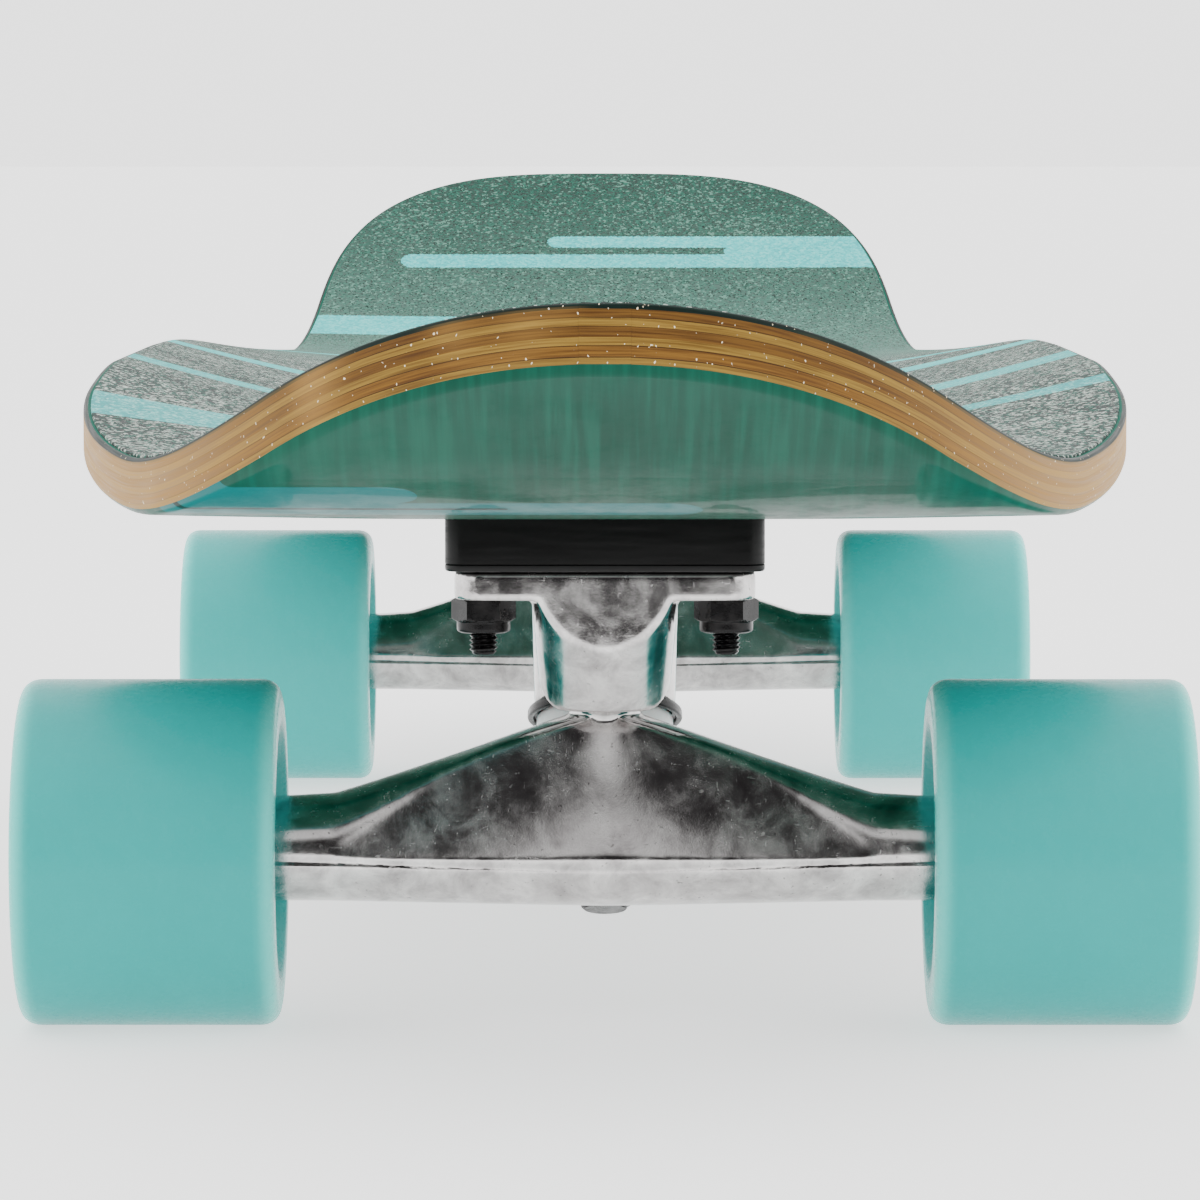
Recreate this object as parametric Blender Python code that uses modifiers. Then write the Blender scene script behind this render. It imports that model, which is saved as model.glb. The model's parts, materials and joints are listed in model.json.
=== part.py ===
"""Mini cruiser skateboard: a plywood deck on two cast trucks with four wide wheels.

Metres, +Z up. The nose points to -Y and the tail to +Y. The origin is on the ground under the
middle of the deck. Left and right are the rider's, facing the nose, so left is +X.

Each truck is built in its own frame: on the ground under its axle, with the end of the board
towards -Y. The rear truck's frame is turned half round.
"""

import math

import bmesh
import bpy
from mathutils import Vector

MM = 0.001
GAP = 0.3 * MM  # left between pieces that touch on the real board

# Layout
DECK_LENGTH = 738 * MM
WHEELBASE = 440 * MM
NOSE_OVERHANG = 130 * MM  # nose tip to front axle
NOSE_TIP_Y = -DECK_LENGTH / 2
TAIL_TIP_Y = DECK_LENGTH / 2
FRONT_AXLE_Y = NOSE_TIP_Y + NOSE_OVERHANG
REAR_AXLE_Y = FRONT_AXLE_Y + WHEELBASE
BASE_TOP_Z = 80.6 * MM  # top of the baseplates
RISER_THICKNESS = 10.2 * MM
DECK_BOTTOM_Z = BASE_TOP_Z + RISER_THICKNESS

# Deck
DECK_THICKNESS = 9.0 * MM
DECK_TOP_Z = DECK_BOTTOM_Z + DECK_THICKNESS
GRIP_THICKNESS = 0.5 * MM
GRIP_INSET = 1.2 * MM
GRIP_TOP_Z = DECK_TOP_Z + GAP + GRIP_THICKNESS
HALF_WIDTH = 92 * MM
FLAT_HALF_WIDTH = 27.5 * MM
FLAT_SHARE = 0.35  # largest share of the half width that stays flat, where the ends narrow
TIP_HALF_WIDTH = 9 * MM
NOSE_ARC_Y = -200 * MM  # where the nose outline starts to close
NOSE_POWER = 2.1
TAIL_TAPER_Y = 20 * MM  # where the outline starts to narrow towards the tail
TAIL_TAPER = 17.5 * MM
TAIL_CORNER_Y = 300 * MM  # where the tail's corners start
TAIL_CORNER_POWER = 3.2
EDGE_BEVEL = 1.0 * MM

# Upturned ends: an arc and then a straight slope
NOSE_KICK_Y = -288 * MM
TAIL_KICK_Y = 256 * MM
KICK_RADIUS = 110 * MM
KICK_ANGLE = math.radians(28)

# Raised rails: height at the full half width, and where it grows and fades
RAIL_RISE = 12.3 * MM
RAIL_GROWS_Y = (-330 * MM, -145 * MM)
RAIL_FADES_Y = (-60 * MM, 360 * MM)
RAIL_SOFTNESS = 0.5

# Mounting hardware
BOLT_X = 20.65 * MM
BOLT_Y = 27 * MM
BOLT_RADIUS = 2.4 * MM
BOLT_END_Z = 65.9 * MM
BOLT_HEAD_RADIUS = 4.6 * MM
BOLT_HEAD_HEIGHT = 2.4 * MM
LOCK_NUT_RADIUS = 5.5 * MM
LOCK_NUT_HEX = 4.0 * MM
LOCK_NUT_COLLAR = 2.0 * MM
LOCK_NUT_COLLAR_RADIUS = 4.7 * MM

# Baseplate and riser
PLATE_MIDDLE_Y = 8 * MM  # the plate's middle lies this far inboard of the axle
PLATE_WIDTH = 50.8 * MM
PLATE_LENGTH = 82 * MM
PLATE_THICKNESS = 4.7 * MM
PLATE_CORNER = 5 * MM
RISER_WIDTH = 53.8 * MM
RISER_LENGTH = 86 * MM
RISER_CORNER = 6 * MM
CORNER_SEGMENTS = 3
RIB_WIDTH = 8 * MM
RIB_LENGTH = 36 * MM
RIB_DEPTH = 5 * MM  # how far the rib hangs under the plate
KINGPIN_BOSS_RADIUS = 12.5 * MM
KINGPIN_BOSS_TOP_RADIUS = 13.5 * MM

# Truck geometry
AXLE_Z = 30 * MM
RING_CENTRE = Vector((0, 24 * MM, 37.8 * MM))
KINGPIN_LEAN = math.radians(20)
STEERING_ANGLE = math.radians(35)
KINGPIN_AXIS = Vector((0, math.sin(KINGPIN_LEAN), math.cos(KINGPIN_LEAN)))
STEERING_AXIS = Vector((0, -math.cos(STEERING_ANGLE), math.sin(STEERING_ANGLE)))

# Along the kingpin, from the ring's centre
RING_HALF = 3.5 * MM
RING_RADIUS = 13 * MM
RING_BORE = 7 * MM
PAST_RING = 12 * MM  # beyond both faces of the ring
UPPER_POCKET_RADIUS = 15.5 * MM
LOWER_POCKET_RADIUS = 12.8 * MM
POCKET_START = RING_HALF + 0.05 * MM
POCKET_END = 34 * MM
SEAT_GAP = 0.2 * MM
BOARDSIDE_BUSHING = 10.5 * MM
ROADSIDE_BUSHING = 7.4 * MM
BUSHING_RADIUS = 12.2 * MM
BUSHING_BORE = 5.0 * MM
ROADSIDE_BUSHING_RADII = (9 * MM, 11 * MM)  # at its lower and upper end
WASHER_THICKNESS = 1.2 * MM
WASHER_RADIUS = 13.75 * MM
WASHER_RIM = 3.0 * MM
WASHER_WALL = 1.1 * MM
SMALL_WASHER_RADIUS = 10.8 * MM
SMALL_WASHER_RIM = 1.5 * MM
KINGPIN_RADIUS = 4.7 * MM
KINGPIN_END = -21.1 * MM
KINGPIN_HEAD = (35 * MM, 40 * MM)
KINGPIN_HEAD_RADIUS = 8 * MM
PAST_PLATE = 60 * MM  # beyond the plate's top
KINGPIN_NUT_RADIUS = 8.2 * MM
KINGPIN_NUT_HEIGHT = 5.3 * MM
UPPER_BUSHING_LOW = RING_HALF + SEAT_GAP
UPPER_BUSHING_HIGH = UPPER_BUSHING_LOW + BOARDSIDE_BUSHING
UPPER_WASHER_LOW = UPPER_BUSHING_HIGH + SEAT_GAP
UPPER_WASHER_HIGH = UPPER_WASHER_LOW + WASHER_THICKNESS
PLATE_SEAT = UPPER_WASHER_HIGH + GAP
LOWER_BUSHING_HIGH = -RING_HALF - SEAT_GAP
LOWER_BUSHING_LOW = LOWER_BUSHING_HIGH - ROADSIDE_BUSHING
LOWER_WASHER_HIGH = LOWER_BUSHING_LOW - SEAT_GAP
LOWER_WASHER_LOW = LOWER_WASHER_HIGH - WASHER_THICKNESS
KINGPIN_NUT_HIGH = LOWER_WASHER_LOW - SEAT_GAP
KINGPIN_NUT_LOW = KINGPIN_NUT_HIGH - KINGPIN_NUT_HEIGHT

# Along the steering axis, from the ring's centre
BOSS_MOUTH = 46.7 * MM
BOSS_TOP = 80 * MM
BOSS_RADIUS = 10.5 * MM
BOSS_TOP_RADIUS = 12.8 * MM
CUP_RADIUS = 7.9 * MM
CUP_BORE = 6.5 * MM
CUP_LOW = 47.2 * MM
CUP_HIGH = 58.9 * MM
PIVOT_RADIUS = 6.1 * MM
PIVOT_TIP = 56.6 * MM
PIVOT_TIP_RADIUS = 3.7 * MM
PIVOT_TAPER = 2.5 * MM
NECK_RADIUS = 6.5 * MM
NECK_PLACE = 43 * MM
WEB_RADIUS = 9.5 * MM  # the thickest part of the stem, between the wings
WEB_PLACE = 20 * MM
STEM_START = 8 * MM
STEM_RADIUS = 10 * MM

# Hanger wings
HANGER_HALF = 65.4 * MM
HANGER_TUBE_RADIUS = 8.85 * MM
HANGER_TUBE_BOTTOM = 21.6 * MM
HANGER_PEAK = 55.2 * MM
HANGER_SHOULDER_X = 47 * MM
HANGER_RIDGE_RADIUS = 4.6 * MM
HANGER_RIDGE_POWER = 1.1  # a little hollow between the peak and the shoulders
HANGER_BELLY = 0.9 * MM  # how far the bar hangs lower in the middle
HANGER_RIDGE_NARROWS = 0.7  # share of the way from a shoulder to the middle
HANGER_SECTION_POINTS = 16
HANGER_SECTIONS = 6

# Axle, bearings and wheels, along the axle from the board's middle plane
AXLE_RADIUS = 4.0 * MM
AXLE_HALF = 101.5 * MM
SPEED_RING = 1.0 * MM
BEARING_WIDTH = 7.0 * MM
BEARING_SPACER = 10.0 * MM
BEARING_RADIUS = 11.0 * MM
STACK_LOW = HANGER_HALF + SEAT_GAP
INNER_BEARING_LOW = STACK_LOW + SPEED_RING
INNER_BEARING_HIGH = INNER_BEARING_LOW + BEARING_WIDTH
OUTER_BEARING_LOW = INNER_BEARING_HIGH + BEARING_SPACER
OUTER_BEARING_HIGH = OUTER_BEARING_LOW + BEARING_WIDTH
STACK_HIGH = OUTER_BEARING_HIGH + SPEED_RING
RACE_RADIUS = 6.5 * MM
SHIELD_GAP = 0.4 * MM
SPACER_RADIUS = 5.5 * MM
AXLE_NUT_HEIGHT = 6.0 * MM
AXLE_NUT_RADIUS = 7.3 * MM
WHEEL_RADIUS = 30 * MM
WHEEL_LOW = 56.1 * MM
WHEEL_HIGH = WHEEL_LOW + 45 * MM
WHEEL_INNER_ROUND = 3.5 * MM
WHEEL_OUTER_ROUND = 4.3 * MM
WHEEL_RECESS = 22 * MM
WHEEL_RECESS_FLOOR = 13.2 * MM
WHEEL_LIP = 1 * MM  # stands over each bearing
WHEEL_SEAT = 11.3 * MM
WHEEL_CORE = 9.0 * MM

# Sides of the turned pieces. 30 puts a flat of the tread on the ground.
WHEEL_SIDES = 30
TURNED_SIDES = 20
SMALL_SIDES = 14
BOLT_SIDES = 10
HEX_SIDES = 6

# name: (colour, roughness, metallic)
LOOKS = {
    "plywood": ((0.62, 0.44, 0.24, 1), 0.45, 0.0),
    "grip": ((0.10, 0.25, 0.20, 1), 0.9, 0.0),
    "riser_plastic": ((0.02, 0.02, 0.02, 1), 0.5, 0.0),
    "cast_aluminium": ((0.75, 0.75, 0.77, 1), 0.25, 1.0),
    "black_steel": ((0.03, 0.03, 0.03, 1), 0.35, 0.8),
    "plain_steel": ((0.60, 0.60, 0.62, 1), 0.3, 1.0),
    "white_urethane": ((0.85, 0.85, 0.82, 1), 0.4, 0.0),
    "turquoise_urethane": ((0.16, 0.46, 0.43, 1), 0.3, 0.0),
    "bearing_steel": ((0.55, 0.55, 0.57, 1), 0.25, 1.0),
    "cup_plastic": ((0.05, 0.05, 0.05, 1), 0.6, 0.0),
}


# ---------------------------------------------------------------- scene helpers


def clear_scene():
    for obj in list(bpy.data.objects):
        bpy.data.objects.remove(obj, do_unlink=True)


def make_collection(name):
    collection = bpy.data.collections.new(name)
    bpy.context.scene.collection.children.link(collection)
    return collection


def make_materials():
    materials = {}
    for name, (colour, roughness, metallic) in LOOKS.items():
        material = bpy.data.materials.new(name)
        material.use_nodes = True
        shader = material.node_tree.nodes["Principled BSDF"]
        shader.inputs["Base Color"].default_value = colour
        shader.inputs["Roughness"].default_value = roughness
        shader.inputs["Metallic"].default_value = metallic
        materials[name] = material
    return materials


clear_scene()
PARTS = make_collection("skateboard")
CUTTERS = make_collection("cutters")
MATERIALS = make_materials()


def add_object(name, mesh, look, parent=None):
    """A part with its look, or a cutter or helper solid where look is None."""
    obj = bpy.data.objects.new(name, mesh)
    obj.parent = parent
    if look is None:
        CUTTERS.objects.link(obj)
        obj.hide_render = True
        obj.display_type = "WIRE"
    else:
        PARTS.objects.link(obj)
        mesh.materials.append(MATERIALS[look])
    return obj


def add_empty(name, location, turn=0.0, parent=None):
    empty = bpy.data.objects.new(name, None)
    empty.location = location
    empty.rotation_euler = (0, 0, turn)
    empty.empty_display_size = 10 * MM
    empty.parent = parent
    PARTS.objects.link(empty)
    return empty


def boolean(target, other, operation="DIFFERENCE"):
    step = target.modifiers.new(other.name, "BOOLEAN")
    step.operation = operation
    step.solver = "EXACT"
    step.object = other


def across_flats(radius, sides):
    """Corner radius of a polygon whose flats lie at the given radius."""
    return radius / math.cos(math.pi / sides)


def turned(name, profile, sides, look, parent, origin=Vector(), axis=Vector((0, 0, 1))):
    """A solid turned about axis. profile holds (radius, height) pairs along its outer side, from the
    top down, and back up its bore if it has one."""
    points = [(radius, 0, height) for radius, height in profile]
    edges = [(i, i + 1) for i in range(len(points) - 1)]
    has_bore = min(radius for radius, _ in profile) > 0
    if has_bore:
        edges.append((len(points) - 1, 0))
    mesh = bpy.data.meshes.new(name)
    mesh.from_pydata(points, edges, [])
    obj = add_object(name, mesh, look, parent)
    obj.location = origin
    obj.rotation_mode = "QUATERNION"
    obj.rotation_quaternion = axis.to_track_quat("Z", "Y")
    screw = obj.modifiers.new("turn", "SCREW")
    screw.axis = "Z"
    screw.steps = sides
    screw.render_steps = sides
    screw.use_merge_vertices = True
    screw.merge_threshold = 0.00001
    screw.use_smooth_shade = True
    return obj


def ring_profile(outer, bore, low, high, sides):
    """A plain ring whose bore clears a round pin of the bore's radius."""
    bore = across_flats(bore, sides)
    return [(outer, high), (outer, low), (bore, low), (bore, high)]


def rod_profile(low_radius, high_radius, low, high):
    return [(0, high), (high_radius, high), (low_radius, low), (0, low)]


def slab(name, size, middle, look, parent, corner=0.0):
    """A box, with its upright edges rounded where corner is given."""
    shape = bmesh.new()
    bmesh.ops.create_cube(shape, size=1)
    bmesh.ops.scale(shape, vec=size, verts=shape.verts)
    if corner:
        upright = [edge for edge in shape.edges if edge.verts[0].co.xy == edge.verts[1].co.xy]
        bmesh.ops.bevel(
            shape,
            geom=upright,
            offset=corner,
            segments=CORNER_SEGMENTS,
            profile=0.5,
            affect="EDGES",
        )
    mesh = bpy.data.meshes.new(name)
    shape.to_mesh(mesh)
    shape.free()
    obj = add_object(name, mesh, look, parent)
    obj.location = middle
    return obj


def smoothstep(value, start, end):
    share = min(max((value - start) / (end - start), 0.0), 1.0)
    return share * share * (3 - 2 * share)


# ---------------------------------------------------------------- deck


def outline_half_width(y):
    """Half of the deck's width at y."""
    width = HALF_WIDTH
    if y > TAIL_TAPER_Y:
        share = (y - TAIL_TAPER_Y) / (TAIL_CORNER_Y - TAIL_TAPER_Y)
        width -= TAIL_TAPER * share * share
    if y < NOSE_ARC_Y:
        share = (NOSE_ARC_Y - y) / (NOSE_ARC_Y - NOSE_TIP_Y)
        width *= max(1 - share**NOSE_POWER, 0.0) ** (1 / NOSE_POWER)
    if y > TAIL_CORNER_Y:
        share = (y - TAIL_CORNER_Y) / (TAIL_TIP_Y - TAIL_CORNER_Y)
        width *= max(1 - share**TAIL_CORNER_POWER, 0.0) ** (1 / TAIL_CORNER_POWER)
    return max(width, TIP_HALF_WIDTH)


def kick_rise(y):
    """Height that the upturned ends add at y."""
    run = max(NOSE_KICK_Y - y, y - TAIL_KICK_Y, 0.0)
    arc_run = KICK_RADIUS * math.sin(KICK_ANGLE)
    if run <= arc_run:
        return KICK_RADIUS - math.sqrt(KICK_RADIUS**2 - run**2)
    arc_rise = KICK_RADIUS * (1 - math.cos(KICK_ANGLE))
    return arc_rise + (run - arc_run) * math.tan(KICK_ANGLE)


def rail_rise(x, y):
    """Height that the raised rails add at a point: none on the flat middle, then a soft bend."""
    share = max(abs(x) - FLAT_HALF_WIDTH, 0.0) / (HALF_WIDTH - FLAT_HALF_WIDTH)
    bend = math.hypot(share, RAIL_SOFTNESS) - RAIL_SOFTNESS
    full_bend = math.hypot(1, RAIL_SOFTNESS) - RAIL_SOFTNESS
    along = smoothstep(y, *RAIL_GROWS_Y) * (1 - smoothstep(y, *RAIL_FADES_Y))
    return RAIL_RISE * along * bend / full_bend


def deck_rise(x, y):
    return kick_rise(y) + rail_rise(x, y)


def steepness(x, y):
    """Upright distance through the deck at a point, for each unit of its thickness."""
    step = 0.1 * MM
    slope_x = (deck_rise(x + step, y) - deck_rise(x - step, y)) / (2 * step)
    slope_y = (deck_rise(x, y + step) - deck_rise(x, y - step)) / (2 * step)
    return math.sqrt(1 + slope_x**2 + slope_y**2)


def deck_stations():
    """Places along the board, closer together where it bends."""
    nose_run = NOSE_ARC_Y - NOSE_TIP_Y
    tail_run = TAIL_TIP_Y - TAIL_CORNER_Y
    bend_start = TAIL_KICK_Y - 10 * MM
    nose = [NOSE_ARC_Y - nose_run * math.sin(math.radians(9 * i)) for i in range(9, 0, -1)]
    middle = [NOSE_ARC_Y + (bend_start - NOSE_ARC_Y) * i / 8 for i in range(8)]
    bend = [bend_start + (TAIL_CORNER_Y - bend_start) * i / 4 for i in range(4)]
    tail = [TAIL_CORNER_Y + tail_run * math.sin(math.radians(14 * i)) for i in range(7)]
    return [NOSE_TIP_Y] + nose + middle + bend + tail + [TAIL_TIP_Y]


def deck_columns(half_width):
    """Places across the board, with one on each border of its flat middle."""
    flat = min(FLAT_HALF_WIDTH, FLAT_SHARE * half_width)
    right = [flat + (half_width - flat) * i / 4 for i in range(5)]
    return [-x for x in reversed(right)] + [0.0] + right


def deck_sheet(name, inset, lift, thickness, side, look):
    """A sheet that follows the deck's top, with its edge cut upright. Its thickness goes down for
    side -1, and up for side 1."""
    stations = deck_stations()
    column_count = len(deck_columns(HALF_WIDTH))
    shape = bmesh.new()
    bmesh.ops.create_grid(
        shape,
        x_segments=column_count - 1,
        y_segments=len(stations) - 1,
        size=0.5,
    )
    for vertex in shape.verts:
        column = round((vertex.co.x + 0.5) * (column_count - 1))
        station = round((vertex.co.y + 0.5) * (len(stations) - 1))
        x = deck_columns(outline_half_width(stations[station]) - inset)[column]
        y = stations[station] * (1 - inset / TAIL_TIP_Y)
        vertex.co = (x, y, DECK_TOP_Z + deck_rise(x, y) + lift)
    other_side = bmesh.ops.extrude_face_region(shape, geom=shape.faces[:])["geom"]
    for vertex in other_side:
        if isinstance(vertex, bmesh.types.BMVert):
            vertex.co.z += side * thickness * steepness(vertex.co.x, vertex.co.y)
    bmesh.ops.recalc_face_normals(shape, faces=shape.faces)
    mesh = bpy.data.meshes.new(name)
    shape.to_mesh(mesh)
    shape.free()
    return add_object(name, mesh, look)


def build_deck():
    deck = deck_sheet("deck", 0.0, 0.0, DECK_THICKNESS, -1, "plywood")
    bevel = deck.modifiers.new("edge", "BEVEL")
    bevel.width = EDGE_BEVEL
    bevel.limit_method = "ANGLE"
    bevel.angle_limit = math.radians(50)
    grip = deck_sheet("grip_sheet", GRIP_INSET, GAP, GRIP_THICKNESS, 1, "grip")
    return [deck, grip]


# ---------------------------------------------------------------- mounting hardware


def bolt_places():
    """(name, place in the truck's frame) of each bolt. The end of the board is towards -Y."""
    for row, along in (("outer", -BOLT_Y), ("inner", BOLT_Y)):
        for side in (-1, 1):
            yield row, Vector((side * BOLT_X, PLATE_MIDDLE_Y + along, 0))


def side_word(truck_x, turn):
    """left or right for a place in a truck's frame, as the rider sees it."""
    return "left" if truck_x * math.cos(turn) > 0 else "right"


def build_hardware(end, truck, turn, drilled):
    """The bolts and lock nuts of one truck. It cuts their holes in the drilled pieces."""
    plate_bottom = BASE_TOP_Z - PLATE_THICKNESS
    nut_top = plate_bottom - GAP
    head_low = GRIP_TOP_Z - BOLT_HEAD_HEIGHT
    for row, place in bolt_places():
        label = f"{row}_{side_word(place.x, turn)}"
        bolt = [
            (0, GRIP_TOP_Z),
            (BOLT_HEAD_RADIUS, GRIP_TOP_Z),
            (BOLT_RADIUS, head_low),
            (BOLT_RADIUS, BOLT_END_Z),
            (0, BOLT_END_Z),
        ]
        turned(f"{end}_bolt_{label}", bolt, BOLT_SIDES, "black_steel", truck, place)

        hole = across_flats(BOLT_RADIUS + GAP, BOLT_SIDES)
        flare = across_flats(BOLT_HEAD_RADIUS + GAP, BOLT_SIDES)
        above = 10 * MM
        clearance = [
            (0, GRIP_TOP_Z + above),
            (flare, GRIP_TOP_Z + above),
            (flare, GRIP_TOP_Z - GAP),
            (hole, head_low - GAP),
            (hole, BOLT_END_Z),
            (0, BOLT_END_Z),
        ]
        cutter = turned(f"{end}_hole_{label}", clearance, BOLT_SIDES, None, truck, place)
        for piece in drilled:
            boolean(piece, cutter)

        bore = across_flats(BOLT_RADIUS + GAP, HEX_SIDES)
        hex_low = nut_top - LOCK_NUT_HEX
        collar_low = hex_low - LOCK_NUT_COLLAR
        nut = [
            (LOCK_NUT_RADIUS, nut_top),
            (LOCK_NUT_RADIUS, hex_low),
            (LOCK_NUT_COLLAR_RADIUS, hex_low),
            (LOCK_NUT_COLLAR_RADIUS, collar_low),
            (bore, collar_low),
            (bore, nut_top),
        ]
        turned(f"{end}_lock_nut_{label}", nut, HEX_SIDES, "black_steel", truck, place)


# ---------------------------------------------------------------- baseplate


def build_baseplate(end, truck):
    plate = slab(
        f"{end}_baseplate",
        (PLATE_WIDTH, PLATE_LENGTH, PLATE_THICKNESS),
        (0, PLATE_MIDDLE_Y, BASE_TOP_Z - PLATE_THICKNESS / 2),
        "cast_aluminium",
        truck,
        PLATE_CORNER,
    )
    outer_y = PLATE_MIDDLE_Y - PLATE_LENGTH / 2
    inner_y = PLATE_MIDDLE_Y + PLATE_LENGTH / 2

    pivot_boss = turned(
        f"{end}_pivot_boss",
        rod_profile(BOSS_RADIUS, BOSS_TOP_RADIUS, BOSS_MOUTH, BOSS_TOP),
        TURNED_SIDES,
        None,
        truck,
        RING_CENTRE,
        STEERING_AXIS,
    )
    kingpin_boss = turned(
        f"{end}_kingpin_boss",
        rod_profile(KINGPIN_BOSS_RADIUS, KINGPIN_BOSS_TOP_RADIUS, PLATE_SEAT, PAST_PLATE),
        TURNED_SIDES,
        None,
        truck,
        RING_CENTRE,
        KINGPIN_AXIS,
    )
    rib_height = RIB_DEPTH + PLATE_THICKNESS / 2
    rib = slab(
        f"{end}_plate_rib",
        (RIB_WIDTH, RIB_LENGTH, rib_height),
        (0, PLATE_MIDDLE_Y, BASE_TOP_Z - PLATE_THICKNESS / 2 - rib_height / 2),
        None,
        truck,
    )
    for boss in (pivot_boss, kingpin_boss, rib):
        boolean(plate, boss, "UNION")

    # The bosses end flush with the plate's top and with its two ends.
    reach = 60 * MM
    trims = (
        ("top", Vector((0, PLATE_MIDDLE_Y, BASE_TOP_Z + reach / 2))),
        ("outer_end", Vector((0, outer_y - reach / 2, BASE_TOP_Z))),
        ("inner_end", Vector((0, inner_y + reach / 2, BASE_TOP_Z))),
    )
    for label, middle in trims:
        size = (reach, 3 * reach, reach) if label == "top" else (reach, reach, 3 * reach)
        boolean(plate, slab(f"{end}_trim_{label}", size, middle, None, truck))

    pivot_bore = across_flats(CUP_RADIUS + GAP, TURNED_SIDES)
    pin_bore = across_flats(KINGPIN_RADIUS + GAP, TURNED_SIDES)
    head_bore = across_flats(KINGPIN_HEAD_RADIUS + GAP, TURNED_SIDES)
    past_mouth = BOSS_MOUTH - 10 * MM
    cup_floor = CUP_HIGH + GAP
    pocket = turned(
        f"{end}_cup_pocket",
        rod_profile(pivot_bore, pivot_bore, past_mouth, cup_floor),
        TURNED_SIDES,
        None,
        truck,
        RING_CENTRE,
        STEERING_AXIS,
    )
    head_floor = KINGPIN_HEAD[0] - GAP
    kingpin_hole = turned(
        f"{end}_kingpin_hole",
        [
            (0, PAST_PLATE),
            (head_bore, PAST_PLATE),
            (head_bore, head_floor),
            (pin_bore, head_floor),
            (pin_bore, 0),
            (0, 0),
        ],
        TURNED_SIDES,
        None,
        truck,
        RING_CENTRE,
        KINGPIN_AXIS,
    )
    boolean(plate, pocket)
    boolean(plate, kingpin_hole)
    return plate


def build_riser(end, truck):
    thickness = RISER_THICKNESS - 2 * GAP
    return slab(
        f"{end}_riser",
        (RISER_WIDTH, RISER_LENGTH, thickness),
        (0, PLATE_MIDDLE_Y, BASE_TOP_Z + RISER_THICKNESS / 2),
        "riser_plastic",
        truck,
        RISER_CORNER,
    )


# ---------------------------------------------------------------- kingpin stack


def build_kingpin_stack(end, truck):
    """Everything on the kingpin. Heights run up it from the middle of the hanger's ring."""

    def on_kingpin(name, profile, sides, look):
        turned(f"{end}_{name}", profile, sides, look, truck, RING_CENTRE, KINGPIN_AXIS)

    head_low, head_high = KINGPIN_HEAD
    kingpin = [
        (0, head_high),
        (KINGPIN_HEAD_RADIUS, head_high),
        (KINGPIN_HEAD_RADIUS, head_low),
        (KINGPIN_RADIUS, head_low),
        (KINGPIN_RADIUS, KINGPIN_END),
        (0, KINGPIN_END),
    ]
    on_kingpin("kingpin", kingpin, SMALL_SIDES, "black_steel")

    bore = across_flats(BUSHING_BORE, TURNED_SIDES)
    boardside = [
        (BUSHING_RADIUS, UPPER_BUSHING_HIGH),
        (BUSHING_RADIUS, UPPER_BUSHING_LOW),
        (bore, UPPER_BUSHING_LOW),
        (bore, UPPER_BUSHING_HIGH),
    ]
    on_kingpin("boardside_bushing", boardside, TURNED_SIDES, "white_urethane")
    low_radius, high_radius = ROADSIDE_BUSHING_RADII
    roadside = [
        (high_radius, LOWER_BUSHING_HIGH),
        (low_radius, LOWER_BUSHING_LOW),
        (bore, LOWER_BUSHING_LOW),
        (bore, LOWER_BUSHING_HIGH),
    ]
    on_kingpin("roadside_bushing", roadside, TURNED_SIDES, "white_urethane")

    rim_inside = WASHER_RADIUS - WASHER_WALL
    rim_low = UPPER_WASHER_LOW - WASHER_RIM
    cup_washer = [
        (WASHER_RADIUS, UPPER_WASHER_HIGH),
        (WASHER_RADIUS, rim_low),
        (rim_inside, rim_low),
        (rim_inside, UPPER_WASHER_LOW),
        (bore, UPPER_WASHER_LOW),
        (bore, UPPER_WASHER_HIGH),
    ]
    on_kingpin("boardside_washer", cup_washer, TURNED_SIDES, "black_steel")
    small_rim_high = LOWER_WASHER_HIGH + SMALL_WASHER_RIM
    small_rim_inside = SMALL_WASHER_RADIUS - WASHER_WALL
    small_washer = [
        (SMALL_WASHER_RADIUS, small_rim_high),
        (SMALL_WASHER_RADIUS, LOWER_WASHER_LOW),
        (bore, LOWER_WASHER_LOW),
        (bore, LOWER_WASHER_HIGH),
        (small_rim_inside, LOWER_WASHER_HIGH),
        (small_rim_inside, small_rim_high),
    ]
    on_kingpin("roadside_washer", small_washer, TURNED_SIDES, "black_steel")
    nut = ring_profile(
        KINGPIN_NUT_RADIUS, KINGPIN_RADIUS + GAP, KINGPIN_NUT_LOW, KINGPIN_NUT_HIGH, HEX_SIDES
    )
    on_kingpin("kingpin_nut", nut, HEX_SIDES, "black_steel")


def build_pivot_cup(end, truck):
    bore = across_flats(CUP_BORE, TURNED_SIDES)
    floor = PIVOT_TIP + GAP
    cup = [
        (0, CUP_HIGH),
        (CUP_RADIUS, CUP_HIGH),
        (CUP_RADIUS, CUP_LOW),
        (bore, CUP_LOW),
        (bore, floor),
        (0, floor),
    ]
    turned(
        f"{end}_pivot_cup", cup, TURNED_SIDES, "cup_plastic", truck, RING_CENTRE, STEERING_AXIS
    )


# ---------------------------------------------------------------- hanger


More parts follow.
